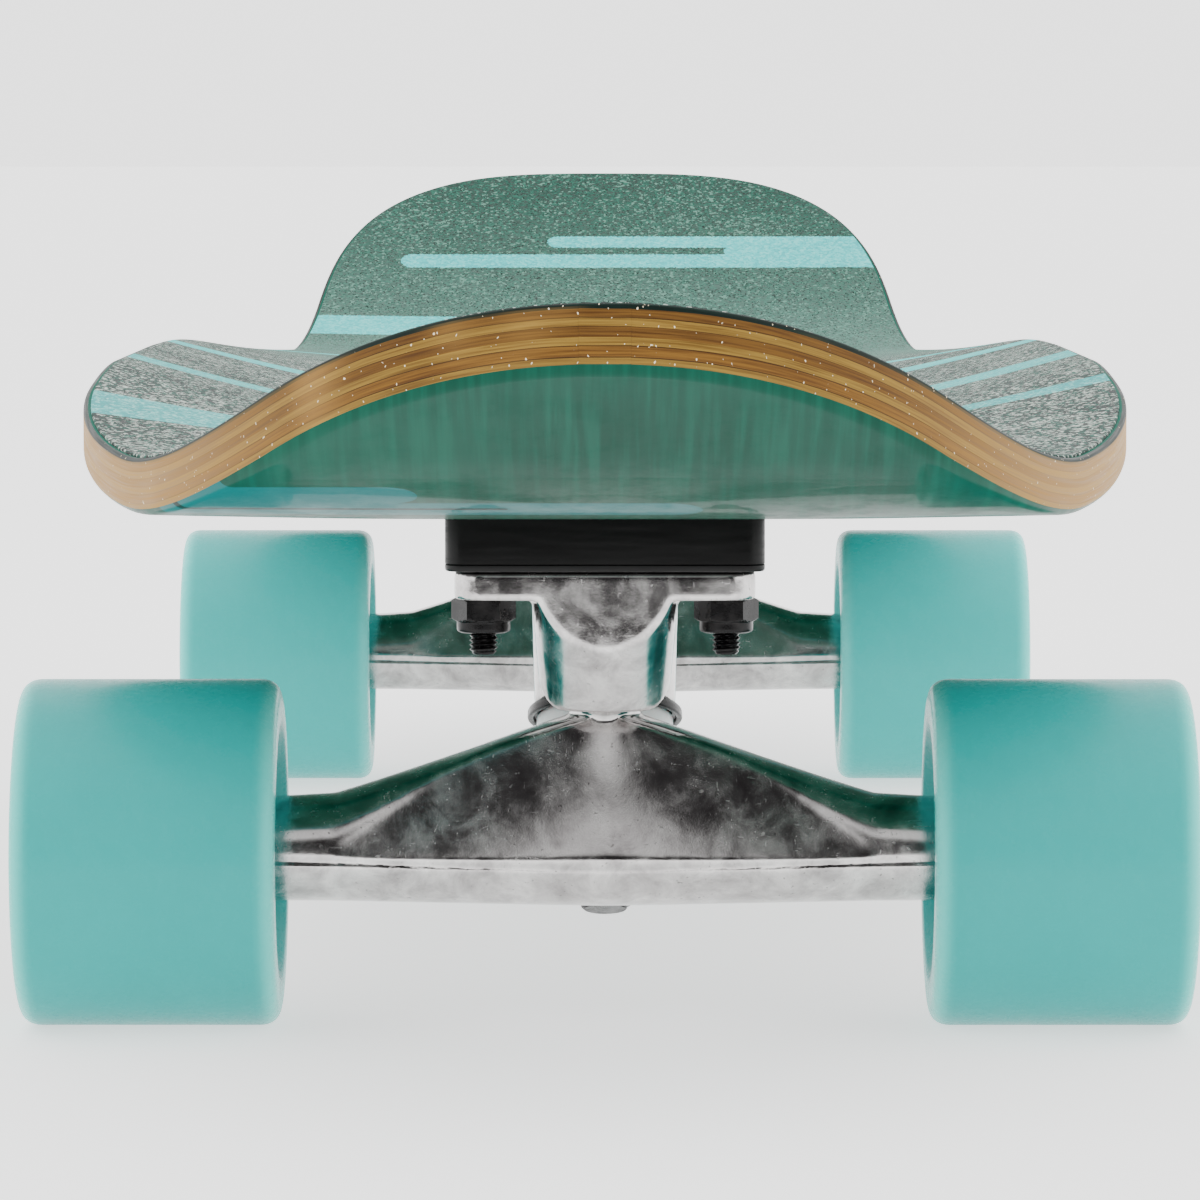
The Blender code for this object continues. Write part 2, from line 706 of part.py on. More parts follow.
def hanger_section(x):
    """The hanger's outline at x: a round lower bar and a narrower rounded ridge above it."""
    inward = max(1 - abs(x) / HANGER_SHOULDER_X, 0.0)
    top = HANGER_TUBE_BOTTOM + 2 * HANGER_TUBE_RADIUS
    top += (HANGER_PEAK - top) * inward**HANGER_RIDGE_POWER
    bottom = HANGER_TUBE_BOTTOM - HANGER_BELLY * inward
    bar_radius = HANGER_TUBE_RADIUS + HANGER_BELLY * inward
    narrowing = smoothstep(inward, 0.0, HANGER_RIDGE_NARROWS)
    ridge_radius = HANGER_TUBE_RADIUS + (HANGER_RIDGE_RADIUS - HANGER_TUBE_RADIUS) * narrowing
    outline = []
    for i in range(HANGER_SECTION_POINTS):
        angle = 2 * math.pi * (i + 0.5) / HANGER_SECTION_POINTS
        upper = math.sin(angle) > 0
        radius = ridge_radius if upper else bar_radius
        middle = top - ridge_radius if upper else bottom + bar_radius
        outline.append(Vector((x, radius * math.cos(angle), middle + radius * math.sin(angle))))
    return outline


def build_wings(name, parent):
    """The hanger's two wings, as a loft across the board, with its origin on the steering axis."""
    places = [HANGER_SHOULDER_X * i / HANGER_SECTIONS for i in range(HANGER_SECTIONS + 1)]
    places.append(HANGER_HALF)
    places = [-x for x in reversed(places[1:])] + places
    rings = [hanger_section(x) for x in places]
    points = [point - RING_CENTRE for ring in rings for point in ring]
    count = HANGER_SECTION_POINTS
    faces = [tuple(range(count - 1, -1, -1))]
    for ring in range(len(rings) - 1):
        for i in range(count):
            near = ring * count
            far = near + count
            follower = (i + 1) % count
            faces.append((near + i, near + follower, far + follower, far + i))
    faces.append(tuple(range(len(points) - count, len(points))))
    mesh = bpy.data.meshes.new(name)
    mesh.from_pydata(points, [], faces)
    mesh.shade_smooth()
    return add_object(name, mesh, "cast_aluminium", parent)


def build_hanger(end, steering):
    """The hanger: wings, the yoke and pivot along the steering axis, and the ring on the kingpin."""
    hanger = build_wings(f"{end}_hanger", steering)

    def along(name, profile, sides, axis):
        return turned(f"{end}_{name}", profile, sides, None, steering, Vector(), axis)

    pivot = [
        (0, PIVOT_TIP),
        (PIVOT_TIP_RADIUS, PIVOT_TIP),
        (PIVOT_RADIUS, PIVOT_TIP - PIVOT_TAPER),
        (PIVOT_RADIUS, BOSS_MOUTH - SEAT_GAP),
        (NECK_RADIUS, NECK_PLACE),
        (WEB_RADIUS, WEB_PLACE),
        (STEM_RADIUS, STEM_START),
        (0, STEM_START),
    ]
    stem = along("pivot_stem", pivot, TURNED_SIDES, STEERING_AXIS)
    ring = along(
        "ring",
        rod_profile(RING_RADIUS, RING_RADIUS, -RING_HALF, RING_HALF),
        TURNED_SIDES,
        KINGPIN_AXIS,
    )
    boolean(hanger, stem, "UNION")
    boolean(hanger, ring, "UNION")

    upper_pocket = along(
        "upper_pocket",
        rod_profile(UPPER_POCKET_RADIUS, UPPER_POCKET_RADIUS, POCKET_START, POCKET_END),
        TURNED_SIDES,
        KINGPIN_AXIS,
    )
    lower_pocket = along(
        "lower_pocket",
        rod_profile(LOWER_POCKET_RADIUS, LOWER_POCKET_RADIUS, -POCKET_END, -POCKET_START),
        TURNED_SIDES,
        KINGPIN_AXIS,
    )
    ring_hole = along(
        "ring_hole",
        rod_profile(RING_BORE, RING_BORE, -PAST_RING, PAST_RING),
        TURNED_SIDES,
        KINGPIN_AXIS,
    )
    axle_bore = across_flats(AXLE_RADIUS + SEAT_GAP, SMALL_SIDES)
    axle_hole = turned(
        f"{end}_axle_hole",
        rod_profile(axle_bore, axle_bore, -AXLE_HALF, AXLE_HALF),
        SMALL_SIDES,
        None,
        steering,
        Vector((0, 0, AXLE_Z)) - RING_CENTRE,
        Vector((1, 0, 0)),
    )
    for cutter in (upper_pocket, lower_pocket, ring_hole, axle_hole):
        boolean(hanger, cutter)
    return hanger


# ---------------------------------------------------------------- axle and wheels


def wheel_profile():
    """(radius, distance from the board's middle) round one wheel, from its outer lip over the tread."""
    tread = across_flats(WHEEL_RADIUS, WHEEL_SIDES)
    slant = math.sqrt(0.5)
    outer = WHEEL_OUTER_ROUND
    inner = WHEEL_INNER_ROUND
    seat = across_flats(WHEEL_SEAT, WHEEL_SIDES)
    return [
        (tread - outer, WHEEL_HIGH),
        (tread - outer + outer * slant, WHEEL_HIGH - outer + outer * slant),
        (tread, WHEEL_HIGH - outer),
        (tread, WHEEL_LOW + inner),
        (tread - inner + inner * slant, WHEEL_LOW + inner - inner * slant),
        (tread - inner, WHEEL_LOW),
        (WHEEL_RECESS, WHEEL_LOW),
        (WHEEL_RECESS_FLOOR, INNER_BEARING_LOW - WHEEL_LIP),
        (seat, INNER_BEARING_LOW - GAP),
        (seat, INNER_BEARING_HIGH + GAP),
        (WHEEL_CORE, INNER_BEARING_HIGH + GAP),
        (WHEEL_CORE, OUTER_BEARING_LOW - GAP),
        (seat, OUTER_BEARING_LOW - GAP),
        (seat, OUTER_BEARING_HIGH + GAP),
        (WHEEL_RECESS_FLOOR, OUTER_BEARING_HIGH + WHEEL_LIP),
        (WHEEL_RECESS, WHEEL_HIGH),
    ]


def race_stack_profile():
    """Speed ring, inner race, spacer, inner race and speed ring in one turned piece."""
    bore = across_flats(AXLE_RADIUS + SEAT_GAP, SMALL_SIDES)
    return [
        (SPACER_RADIUS, STACK_HIGH),
        (SPACER_RADIUS, OUTER_BEARING_HIGH),
        (RACE_RADIUS, OUTER_BEARING_HIGH),
        (RACE_RADIUS, OUTER_BEARING_LOW),
        (SPACER_RADIUS, OUTER_BEARING_LOW),
        (SPACER_RADIUS, INNER_BEARING_HIGH),
        (RACE_RADIUS, INNER_BEARING_HIGH),
        (RACE_RADIUS, INNER_BEARING_LOW),
        (SPACER_RADIUS, INNER_BEARING_LOW),
        (SPACER_RADIUS, STACK_LOW),
        (bore, STACK_LOW),
        (bore, STACK_HIGH),
    ]


def build_axle(end, steering, turn):
    """The axle with its nuts, bearings and wheels, placed from the steering axis."""
    middle = Vector((0, 0, AXLE_Z)) - RING_CENTRE
    turned(
        f"{end}_axle",
        rod_profile(AXLE_RADIUS, AXLE_RADIUS, -AXLE_HALF, AXLE_HALF),
        SMALL_SIDES,
        "plain_steel",
        steering,
        middle,
        Vector((1, 0, 0)),
    )
    nut_low = STACK_HIGH + SEAT_GAP
    nut = ring_profile(
        AXLE_NUT_RADIUS, AXLE_RADIUS + GAP, nut_low, nut_low + AXLE_NUT_HEIGHT, HEX_SIDES
    )
    shield_bore = RACE_RADIUS + SHIELD_GAP
    bearings = (
        ("inner_bearing", INNER_BEARING_LOW, INNER_BEARING_HIGH),
        ("outer_bearing", OUTER_BEARING_LOW, OUTER_BEARING_HIGH),
    )
    for side in (-1, 1):
        word = side_word(side, turn)
        outward = Vector((side, 0, 0))
        hub = add_empty(f"{end}_hub_{word}", middle, parent=steering)
        turned(
            f"{end}_wheel_{word}",
            wheel_profile(),
            WHEEL_SIDES,
            "turquoise_urethane",
            hub,
            axis=outward,
        )
        for name, low, high in bearings:
            ring = ring_profile(BEARING_RADIUS, shield_bore, low, high, SMALL_SIDES)
            turned(f"{end}_{name}_{word}", ring, SMALL_SIDES, "bearing_steel", hub, axis=outward)
        turned(
            f"{end}_race_stack_{word}",
            race_stack_profile(),
            SMALL_SIDES,
            "bearing_steel",
            steering,
            middle,
            outward,
        )
        turned(
            f"{end}_axle_nut_{word}", nut, HEX_SIDES, "black_steel", steering, middle, outward
        )


def build_truck(end, axle_y, turn, deck_pieces):
    truck = add_empty(f"{end}_truck", (0, axle_y, 0), turn)
    steering = add_empty(f"{end}_steering", RING_CENTRE, parent=truck)
    riser = build_riser(end, truck)
    plate = build_baseplate(end, truck)
    build_hardware(end, truck, turn, deck_pieces + [riser, plate])
    build_kingpin_stack(end, truck)
    build_pivot_cup(end, truck)
    build_hanger(end, steering)
    build_axle(end, steering, turn)


deck_and_grip = build_deck()
build_truck("front", FRONT_AXLE_Y, 0.0, deck_and_grip)
build_truck("rear", REAR_AXLE_Y, math.pi, deck_and_grip)
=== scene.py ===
"""Looks for the mini cruiser skateboard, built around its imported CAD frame.

Shapes are worked out in millimetres, and make_mesh turns them into Blender's metres. +Z is up, the
nose points to -Y and the tail to +Y, and the rider's left is +X.

Each truck is shaped in its own frame, as in the CAD: on the ground under its axle, with the end of
the board towards -Y. Its points are then placed in the row frame, so every piece sits at the origin.
"""

import json
import math

import bmesh
import bpy
import numpy as np
from mathutils import Matrix, Vector


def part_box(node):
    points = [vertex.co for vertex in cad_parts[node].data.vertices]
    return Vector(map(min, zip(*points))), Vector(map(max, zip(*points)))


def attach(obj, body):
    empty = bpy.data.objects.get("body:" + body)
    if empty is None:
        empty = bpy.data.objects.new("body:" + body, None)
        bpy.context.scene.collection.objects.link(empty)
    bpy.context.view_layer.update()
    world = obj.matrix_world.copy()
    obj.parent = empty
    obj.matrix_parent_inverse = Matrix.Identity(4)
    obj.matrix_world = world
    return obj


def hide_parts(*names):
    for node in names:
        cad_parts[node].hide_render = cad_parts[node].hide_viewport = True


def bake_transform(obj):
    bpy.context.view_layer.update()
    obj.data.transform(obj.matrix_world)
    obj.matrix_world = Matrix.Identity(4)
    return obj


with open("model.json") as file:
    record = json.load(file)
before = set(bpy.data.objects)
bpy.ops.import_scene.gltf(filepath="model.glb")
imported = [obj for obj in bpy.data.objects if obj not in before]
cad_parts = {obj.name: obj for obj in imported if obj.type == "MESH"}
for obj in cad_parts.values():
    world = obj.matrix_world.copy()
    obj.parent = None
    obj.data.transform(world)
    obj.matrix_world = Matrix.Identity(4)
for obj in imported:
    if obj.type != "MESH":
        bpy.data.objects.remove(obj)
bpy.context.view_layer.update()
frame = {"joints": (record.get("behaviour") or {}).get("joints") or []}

MM = 0.001
TURN = 2 * math.pi

# ---------------------------------------------------------------- places from the frame

JOINTS = {joint["name"]: joint for joint in frame["joints"]}
RING_PLACE = Vector(JOINTS["front_steering"]["pos_m"]) / MM
FRONT_AXLE = Vector(JOINTS["front_left_spin"]["pos_m"]) / MM
REAR_AXLE = Vector(JOINTS["rear_left_spin"]["pos_m"]) / MM
AXLE_Z = FRONT_AXLE.z
RING_CENTRE = Vector((0, RING_PLACE.y - FRONT_AXLE.y, RING_PLACE.z))
STEERING_AXIS = Vector(JOINTS["front_steering"]["axis"])
KINGPIN_LEAN = math.radians(20)
KINGPIN_AXIS = Vector((0, math.sin(KINGPIN_LEAN), math.cos(KINGPIN_LEAN)))
TRUCKS = {
    "front": Matrix.Translation((0, FRONT_AXLE.y, 0)),
    "rear": Matrix.Translation((0, REAR_AXLE.y, 0)) @ Matrix.Rotation(math.pi, 4, "Z"),
}


def height_of(node):
    """Lowest and highest point of a CAD node."""
    low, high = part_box(node)
    return low.z / MM, high.z / MM


PLATE_TOP_Z = height_of("front_baseplate")[1]
RISER_LOW_Z, RISER_HIGH_Z = height_of("front_riser")
DECK_BOTTOM_Z = height_of("deck")[0]
BOLT_END_Z, BOLT_HEAD_Z = height_of("front_bolt_outer_left")
LOCK_NUT_LOW_Z, LOCK_NUT_HIGH_Z = height_of("front_lock_nut_outer_left")

# Deck
NOSE_TIP_Y = -369
TAIL_TIP_Y = 369
HALF_WIDTH = 92
TIP_HALF_WIDTH = 4
NOSE_ARC_Y = -200
NOSE_POWER = 2.1
TAIL_TAPER_Y = 20
TAIL_TAPER = 17.5
TAIL_CORNER_Y = 300
TAIL_CORNER_POWER = 3.2
NOSE_KICK_Y = -288
TAIL_KICK_Y = 256
KICK_RADIUS = 110
KICK_ANGLE = math.radians(28)
FLAT_HALF_WIDTH = 27.5
RAIL_RISE = 12.3
RAIL_GROWS_Y = (-330, -145)
RAIL_FADES_Y = (-60, 360)
RAIL_SOFTNESS = 0.5
GRIP_TOP_Z = BOLT_HEAD_Z
GRIP_THICKNESS = 0.5
GRIP_INSET = 1.3
DECK_TOP_Z = GRIP_TOP_Z - GRIP_THICKNESS
DECK_THICKNESS = DECK_TOP_Z - DECK_BOTTOM_Z
TOP_ROUND = 0.8
BOTTOM_ROUND = 2.3
BOTTOM_ROUND_INSET = 2.2
LACQUER_DEPTH = 1.2
GLUE_SHARE = 0.015

# Stripes across the board: (place along it, half width, from, to). EDGE lies past the board's edge.
EDGE = 200
GRIP_STRIPES = (
    (325, 3.1, -53, EDGE),
    (334, 2.65, -15, EDGE),
    (329.5, 3.0, 31, EDGE),
    (291.5, 6.5, -EDGE, -32),
    (-122, 9, -EDGE, -38),
    (-10, 11, -EDGE, -45),
    (-224, 14, -EDGE, -52),
    (-190, 6, 60, EDGE),
    (-105, 13, 48, EDGE),
    (10, 14, 34, EDGE),
    (95, 7, -20, EDGE),
    (205, 5, -EDGE, 24),
)
BASE_STRIPES = (
    (-324, 5.0, -EDGE, -30),
    (-313.5, 5.7, -EDGE, 15.8),
    (-150, 7, -12, EDGE),
    (-128, 5, 30, EDGE),
    (-30, 12, -EDGE, 22),
    (-5, 5, -EDGE, -28),
    (92, 6, -44, EDGE),
    (300, 8, -EDGE, 10),
)
BASE_SLOT = (-314.3, 0.8, -EDGE, -15.6)

# Mounting hardware
BOLT_X = 20.65
BOLT_Y = 27
BOLT_RADIUS = 2.4
BOLT_HEAD_RADIUS = 4.6
BOLT_PITCH = 0.794
SOCKET_RADIUS = 1.8
# Sizes of a lock nut: its corners' radius, its collar's height and radius, and its bore's radius
DECK_NUT_SIZES = (5.5, 2.0, 4.55, 2.45)

# Baseplate and riser
PLATE_MIDDLE_Y = 8
PLATE_WIDTH = 50.8
PLATE_LENGTH = 82
PLATE_THICKNESS = 4.7
PLATE_CORNER = 5
RIB_HALF = 4
RIB_Y = (-8, 28)
RIB_DEPTH = 5
BOLT_HOLE = 2.8
RISER_WIDTH = 53.8
RISER_LENGTH = 86
RISER_CORNER = 3.2
RISER_PARTING_DROP = 3.6

# Along the kingpin, from the ring's centre
RING_HALF = 3.5
RING_RADIUS = 13
RING_BORE = 7
UPPER_BUSHING = (3.7, 14.2)
LOWER_BUSHING = (-11.1, -3.7)
UPPER_WASHER = (14.4, 15.6)
LOWER_WASHER = (-12.5, -11.3)
KINGPIN_NUT = (-18.0, -12.7)
KINGPIN_END = -21.1
KINGPIN_HEAD = (35, 40)
KINGPIN_RADIUS = 4.7
KINGPIN_PITCH = 1.06
PLATE_SEAT = 15.9
UPPER_BUSHING_RADII = (12.1, 12.1)
LOWER_BUSHING_RADII = (9, 11)
BUSHING_BORE = 5.1
WASHER_RADIUS = 13.75
LOWER_WASHER_RADIUS = 10.8
KINGPIN_NUT_SIZES = (8.2, 1.7, 6.9, KINGPIN_RADIUS + 0.05)
KINGPIN_BOSS_RADII = (12.5, 13.5)
KINGPIN_BOSS_TOP = 50
KINGPIN_HOLE = 5
KINGPIN_HEAD_HOLE = 8.3
UPPER_BUSHING_ROOM = 15.5
LOWER_BUSHING_ROOM = 12.8

# The pivot boss in the truck's frame. Its outward face is the shield, with its low end at SHIELD_Y.
BOSS_RADIUS = 10.9
BOSS_TOP_RADIUS = 12.7
BOSS_LOW_Z = 56.3
BOSS_LEAN = 0.75
BOSS_SETBACK = 1.0
SHIELD_LOW_Z = 67
SHIELD_Y = -33

# Along the steering axis, from the ring's centre
BOSS_MOUTH = 46.7
CUP = (47.2, 58.9)
CUP_RADIUS = 7.9
PIVOT_RADIUS = 6.1
PIVOT_TIP = 56.6
STEM_LOW = 8
STEM_RADIUS = 10
WEB_ALONG = 18
WEB_RADIUS = 7.5
NECK_ALONG = (36, 41)
NECK_RADIUS = 4.9

# Hanger
HANGER_HALF = 65.4
TUBE_RADIUS = 8.85
TUBE_BOTTOM = 21.6
HANGER_PEAK = 55.2
SHOULDER_X = 47
RIDGE_RADIUS = 4.6
RIDGE_CROWN = 1.0
RIDGE_POWER = 1.1
PEAK_ROUND = 4
SHARPNESS = 1.7
RIDGE_NARROWS = 0.7
FRONT_SWEEP = 3.2
BELLY = 0.9
CREASE_END_Z = 29.2
CREASE_MIDDLE_Z = 27.8
STEP_DEPTH = 0.28
STEP_FADES = (8, 20)
GROOVE_DEPTH = 0.2
GROOVE_HALF = 0.5

# Axle, bearings and wheels, from the board's middle plane
AXLE_RADIUS = 4.0
AXLE_HALF = 101.5
STACK = (65.6, 91.6)
INNER_BEARING = (66.6, 73.6)
OUTER_BEARING = (83.6, 90.6)
BEARING_RADIUS = 11
SHIELD_BORE = 6.95
AXLE_NUT = (91.8, 97.8)
AXLE_NUT_SIZES = (7.3, 1.9, 6.0, AXLE_RADIUS + 0.05)
WHEEL_RADIUS = 30
WHEEL_LOW = 56.1
WHEEL_HIGH = 101.1
WHEEL_MIDDLE = (WHEEL_LOW + WHEEL_HIGH) / 2

# How finely the castings and the deck are meshed. UNCUT is longer than any edge.
VOXEL = 0.45
WING_STATIONS = 40
END_STATIONS = 61
MIDDLE_STATIONS = 170
SHEET_COLUMNS = 61
UNCUT = 1000

# Studio, in metres. The camera's dip and turn are in degrees.
FLOOR_RADIUS = 60
FLOOR_Z = -0.2 * MM
FLAG_Y = (0.85, 3.2)
FLAG_HALF_WIDTH = 2.2
FLAG_TOP = 3.0
GLOW_FADES_X = (0.18, 0.78)
GLOW_GROWS_Z = (0.5, 1.2)
GLOW_STRENGTH = 1.3
WORLD_STRENGTH = 2.6
FLOOR_GLOW = 0.45 * WORLD_STRENGTH
CAMERA_LENS = 193.3
CAMERA_PLACE = (0, -1.3515, 0.1514)
CAMERA_DIP = 3.99
CAMERA_TURN = 0.044


# ---------------------------------------------------------------- mesh tools


def smoothstep(value, start, end):
    share = np.clip((value - start) / (end - start), 0, 1)
    return share * share * (3 - 2 * share)


def grid_faces(rows, columns, wrap_rows=False, wrap_columns=True):
    """Quads between points that are stored row after row."""
    row = np.arange(rows if wrap_rows else rows - 1)[:, None]
    column = np.arange(columns if wrap_columns else columns - 1)[None, :]
    next_row = (row + 1) % rows
    next_column = (column + 1) % columns
    corners = [
        row * columns + column,
        row * columns + next_column,
        next_row * columns + next_column,
        next_row * columns + column,
    ]
    return np.stack(corners, -1).reshape(-1, 4)


def capped_faces(rows, columns):
    """Quads between rings of points, with one face over the first ring and one over the last."""
    last = (rows - 1) * columns
    ends = [list(range(columns)), list(range(last, last + columns))]
    return grid_faces(rows, columns).tolist() + ends


def placed(points, matrix):
    turn = np.array(matrix.to_3x3())
    return points @ turn.T + np.array(matrix.translation)


def add_object(name, data):
    made = bpy.data.objects.new(name, data)
    bpy.context.scene.collection.objects.link(made)
    return made


def helper(mesh):
    return add_object(mesh.name, mesh)


def make_mesh(name, points, faces, attributes=(), looks_of_faces=None):
    """A welded mesh in metres with its normals out, from points in millimetres. attributes holds
    (name, one number per point)."""
    mesh = bpy.data.meshes.new(name)
    mesh.from_pydata((points * MM).tolist(), [], [list(face) for face in faces])
    for label, values in attributes:
        layer = mesh.attributes.new(label, "FLOAT", "POINT")
        layer.data.foreach_set("value", np.asarray(values, np.float32))
    if looks_of_faces is not None:
        mesh.polygons.foreach_set("material_index", looks_of_faces)
    shape = bmesh.new()
    shape.from_mesh(mesh)
    bmesh.ops.remove_doubles(shape, verts=shape.verts, dist=0.002 * MM)
    bmesh.ops.recalc_face_normals(shape, faces=shape.faces)
    shape.to_mesh(mesh)
    shape.free()
    return mesh


def make_piece(name, mesh, looks, body, nodes, sharp=35, blend=None):
    """A finished piece that rides on a body, or on none when it has a blend, and stands for CAD nodes.
    looks holds names from make_looks."""
    for look in looks:
        mesh.materials.append(LOOKS[look])
    mesh.shade_smooth()
    mesh.set_sharp_from_angle(angle=math.radians(sharp))
    piece = add_object(name, mesh)
    if blend is None:
        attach(piece, body)
    else:
        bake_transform(piece)
    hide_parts(*nodes)
    return piece


def rounded(corners, closed=True, steps=5):
    """An outline with rounded corners. corners holds (across, along, rounding)."""
    points = []
    last = len(corners) - 1
    for i, (across, along, rounding) in enumerate(corners):
        here = np.array((across, along))
        if rounding == 0 or (not closed and i in (0, last)):
            points.append(here)
            continue
        back = np.array(corners[i - 1][:2]) - here
        ahead = np.array(corners[(i + 1) % len(corners)][:2]) - here
        back_length = np.linalg.norm(back)
        ahead_length = np.linalg.norm(ahead)
        cosine = np.dot(back, ahead) / (back_length * ahead_length)
        half_angle = math.acos(np.clip(cosine, -1, 1)) / 2
        reach = min(rounding / math.tan(half_angle), 0.49 * back_length, 0.49 * ahead_length)
        start = here + back * reach / back_length
        end = here + ahead * reach / ahead_length
        for step in range(steps + 1):
            t = step / steps
            points.append((1 - t) ** 2 * start + 2 * t * (1 - t) * here + t**2 * end)
    return points


def finely(outline, step, closed=False):
    """The outline with its long edges cut into steps."""
    points = []
    pairs = list(zip(outline, outline[1:] + outline[:1]))
    for start, end in pairs if closed else pairs[:-1]:
        count = max(int(math.ceil(np.linalg.norm(end - start) / step)), 1)
        points += [start + (end - start) * i / count for i in range(count)]
    return points if closed else points + [outline[-1]]


def axis_matrix(origin, axis):
    return Matrix.Translation(origin) @ axis.to_track_quat("Z", "Y").to_matrix().to_4x4()


KINGPIN = axis_matrix(RING_CENTRE, KINGPIN_AXIS)
STEERING = axis_matrix(RING_CENTRE, STEERING_AXIS)


def turned_points(outline, columns, shape=None):
    """(points, height of each point) of an outline turned about Z. shape changes the radii."""
    angle = np.arange(columns) * TURN / columns
    radius, height = np.array(outline).T
    radius = np.repeat(radius[:, None], columns, axis=1)
    height = np.repeat(height[:, None], columns, axis=1)
    if shape:
        radius = shape(radius, angle[None, :], height)
    points = np.stack([radius * np.cos(angle), radius * np.sin(angle), height], -1)
    return points.reshape(-1, 3)


def turned_mesh(name, outline, matrix, closed=True, columns=96, shape=None, attributes=()):
    """A turned mesh. A closed outline has a bore, and an open one starts and ends on the axis."""
    points = placed(turned_points(outline, columns, shape), matrix)
    faces = grid_faces(len(outline), columns, wrap_rows=closed)
    spread = [(label, np.repeat(values, columns)) for label, values in attributes]
    return make_mesh(name, points, faces, spread)


def turned_piece(name, outline, place, look, body, node, slot, sharp=35, blend=None, **turning):
    """A finished piece that is turned about an axis. turning goes to turned_mesh."""
    mesh = turned_mesh(name, outline, place, **turning)
    make_piece(name, mesh, [look], body, [node], sharp, blend)


def mirrored(half, middle=0.0):
    """The other half of an outline that is the same on both sides of a middle, walked backwards."""
    return [(radius, 2 * middle - along, rounding) for radius, along, rounding in reversed(half)]


def hexagon(corner_radius):
    """Cuts turned points to a hexagon with a corner at angle 0."""
    flats = corner_radius * math.cos(math.pi / 6)

    def shape(radius, angle, height):
        from_flat = angle % (math.pi / 3) - math.pi / 6
        return np.minimum(radius, flats / np.cos(from_flat))

    return shape


def thread(pitch, depth, rod_radius, low, high):
    """Cuts a screw thread into turned points between two heights, running out at both ends."""

    def shape(radius, angle, height):
        turns = height / pitch - angle / TURN
        wave = np.abs(turns % 1 - 0.5) * 2
        run_in = smoothstep(height, low, low + pitch)
        run_out = 1 - smoothstep(height, high - pitch, high)
        on_rod = smoothstep(radius, 0.5 * rod_radius, 0.9 * rod_radius)
        return radius - depth * wave * run_in * run_out * on_rod

    return shape


# ---------------------------------------------------------------- material tools


def shade(value):
    """A display colour, three numbers from 0 to 255, as the linear colour that the shaders take.
    Anything else stays as it is."""
    if not isinstance(value, tuple) or len(value) != 3:
        return value
    linear = []
    for number in value:
        share = number / 255
        linear.append(share / 12.92 if share <= 0.04045 else ((share + 0.055) / 1.055) ** 2.4)
    return (*linear, 1)


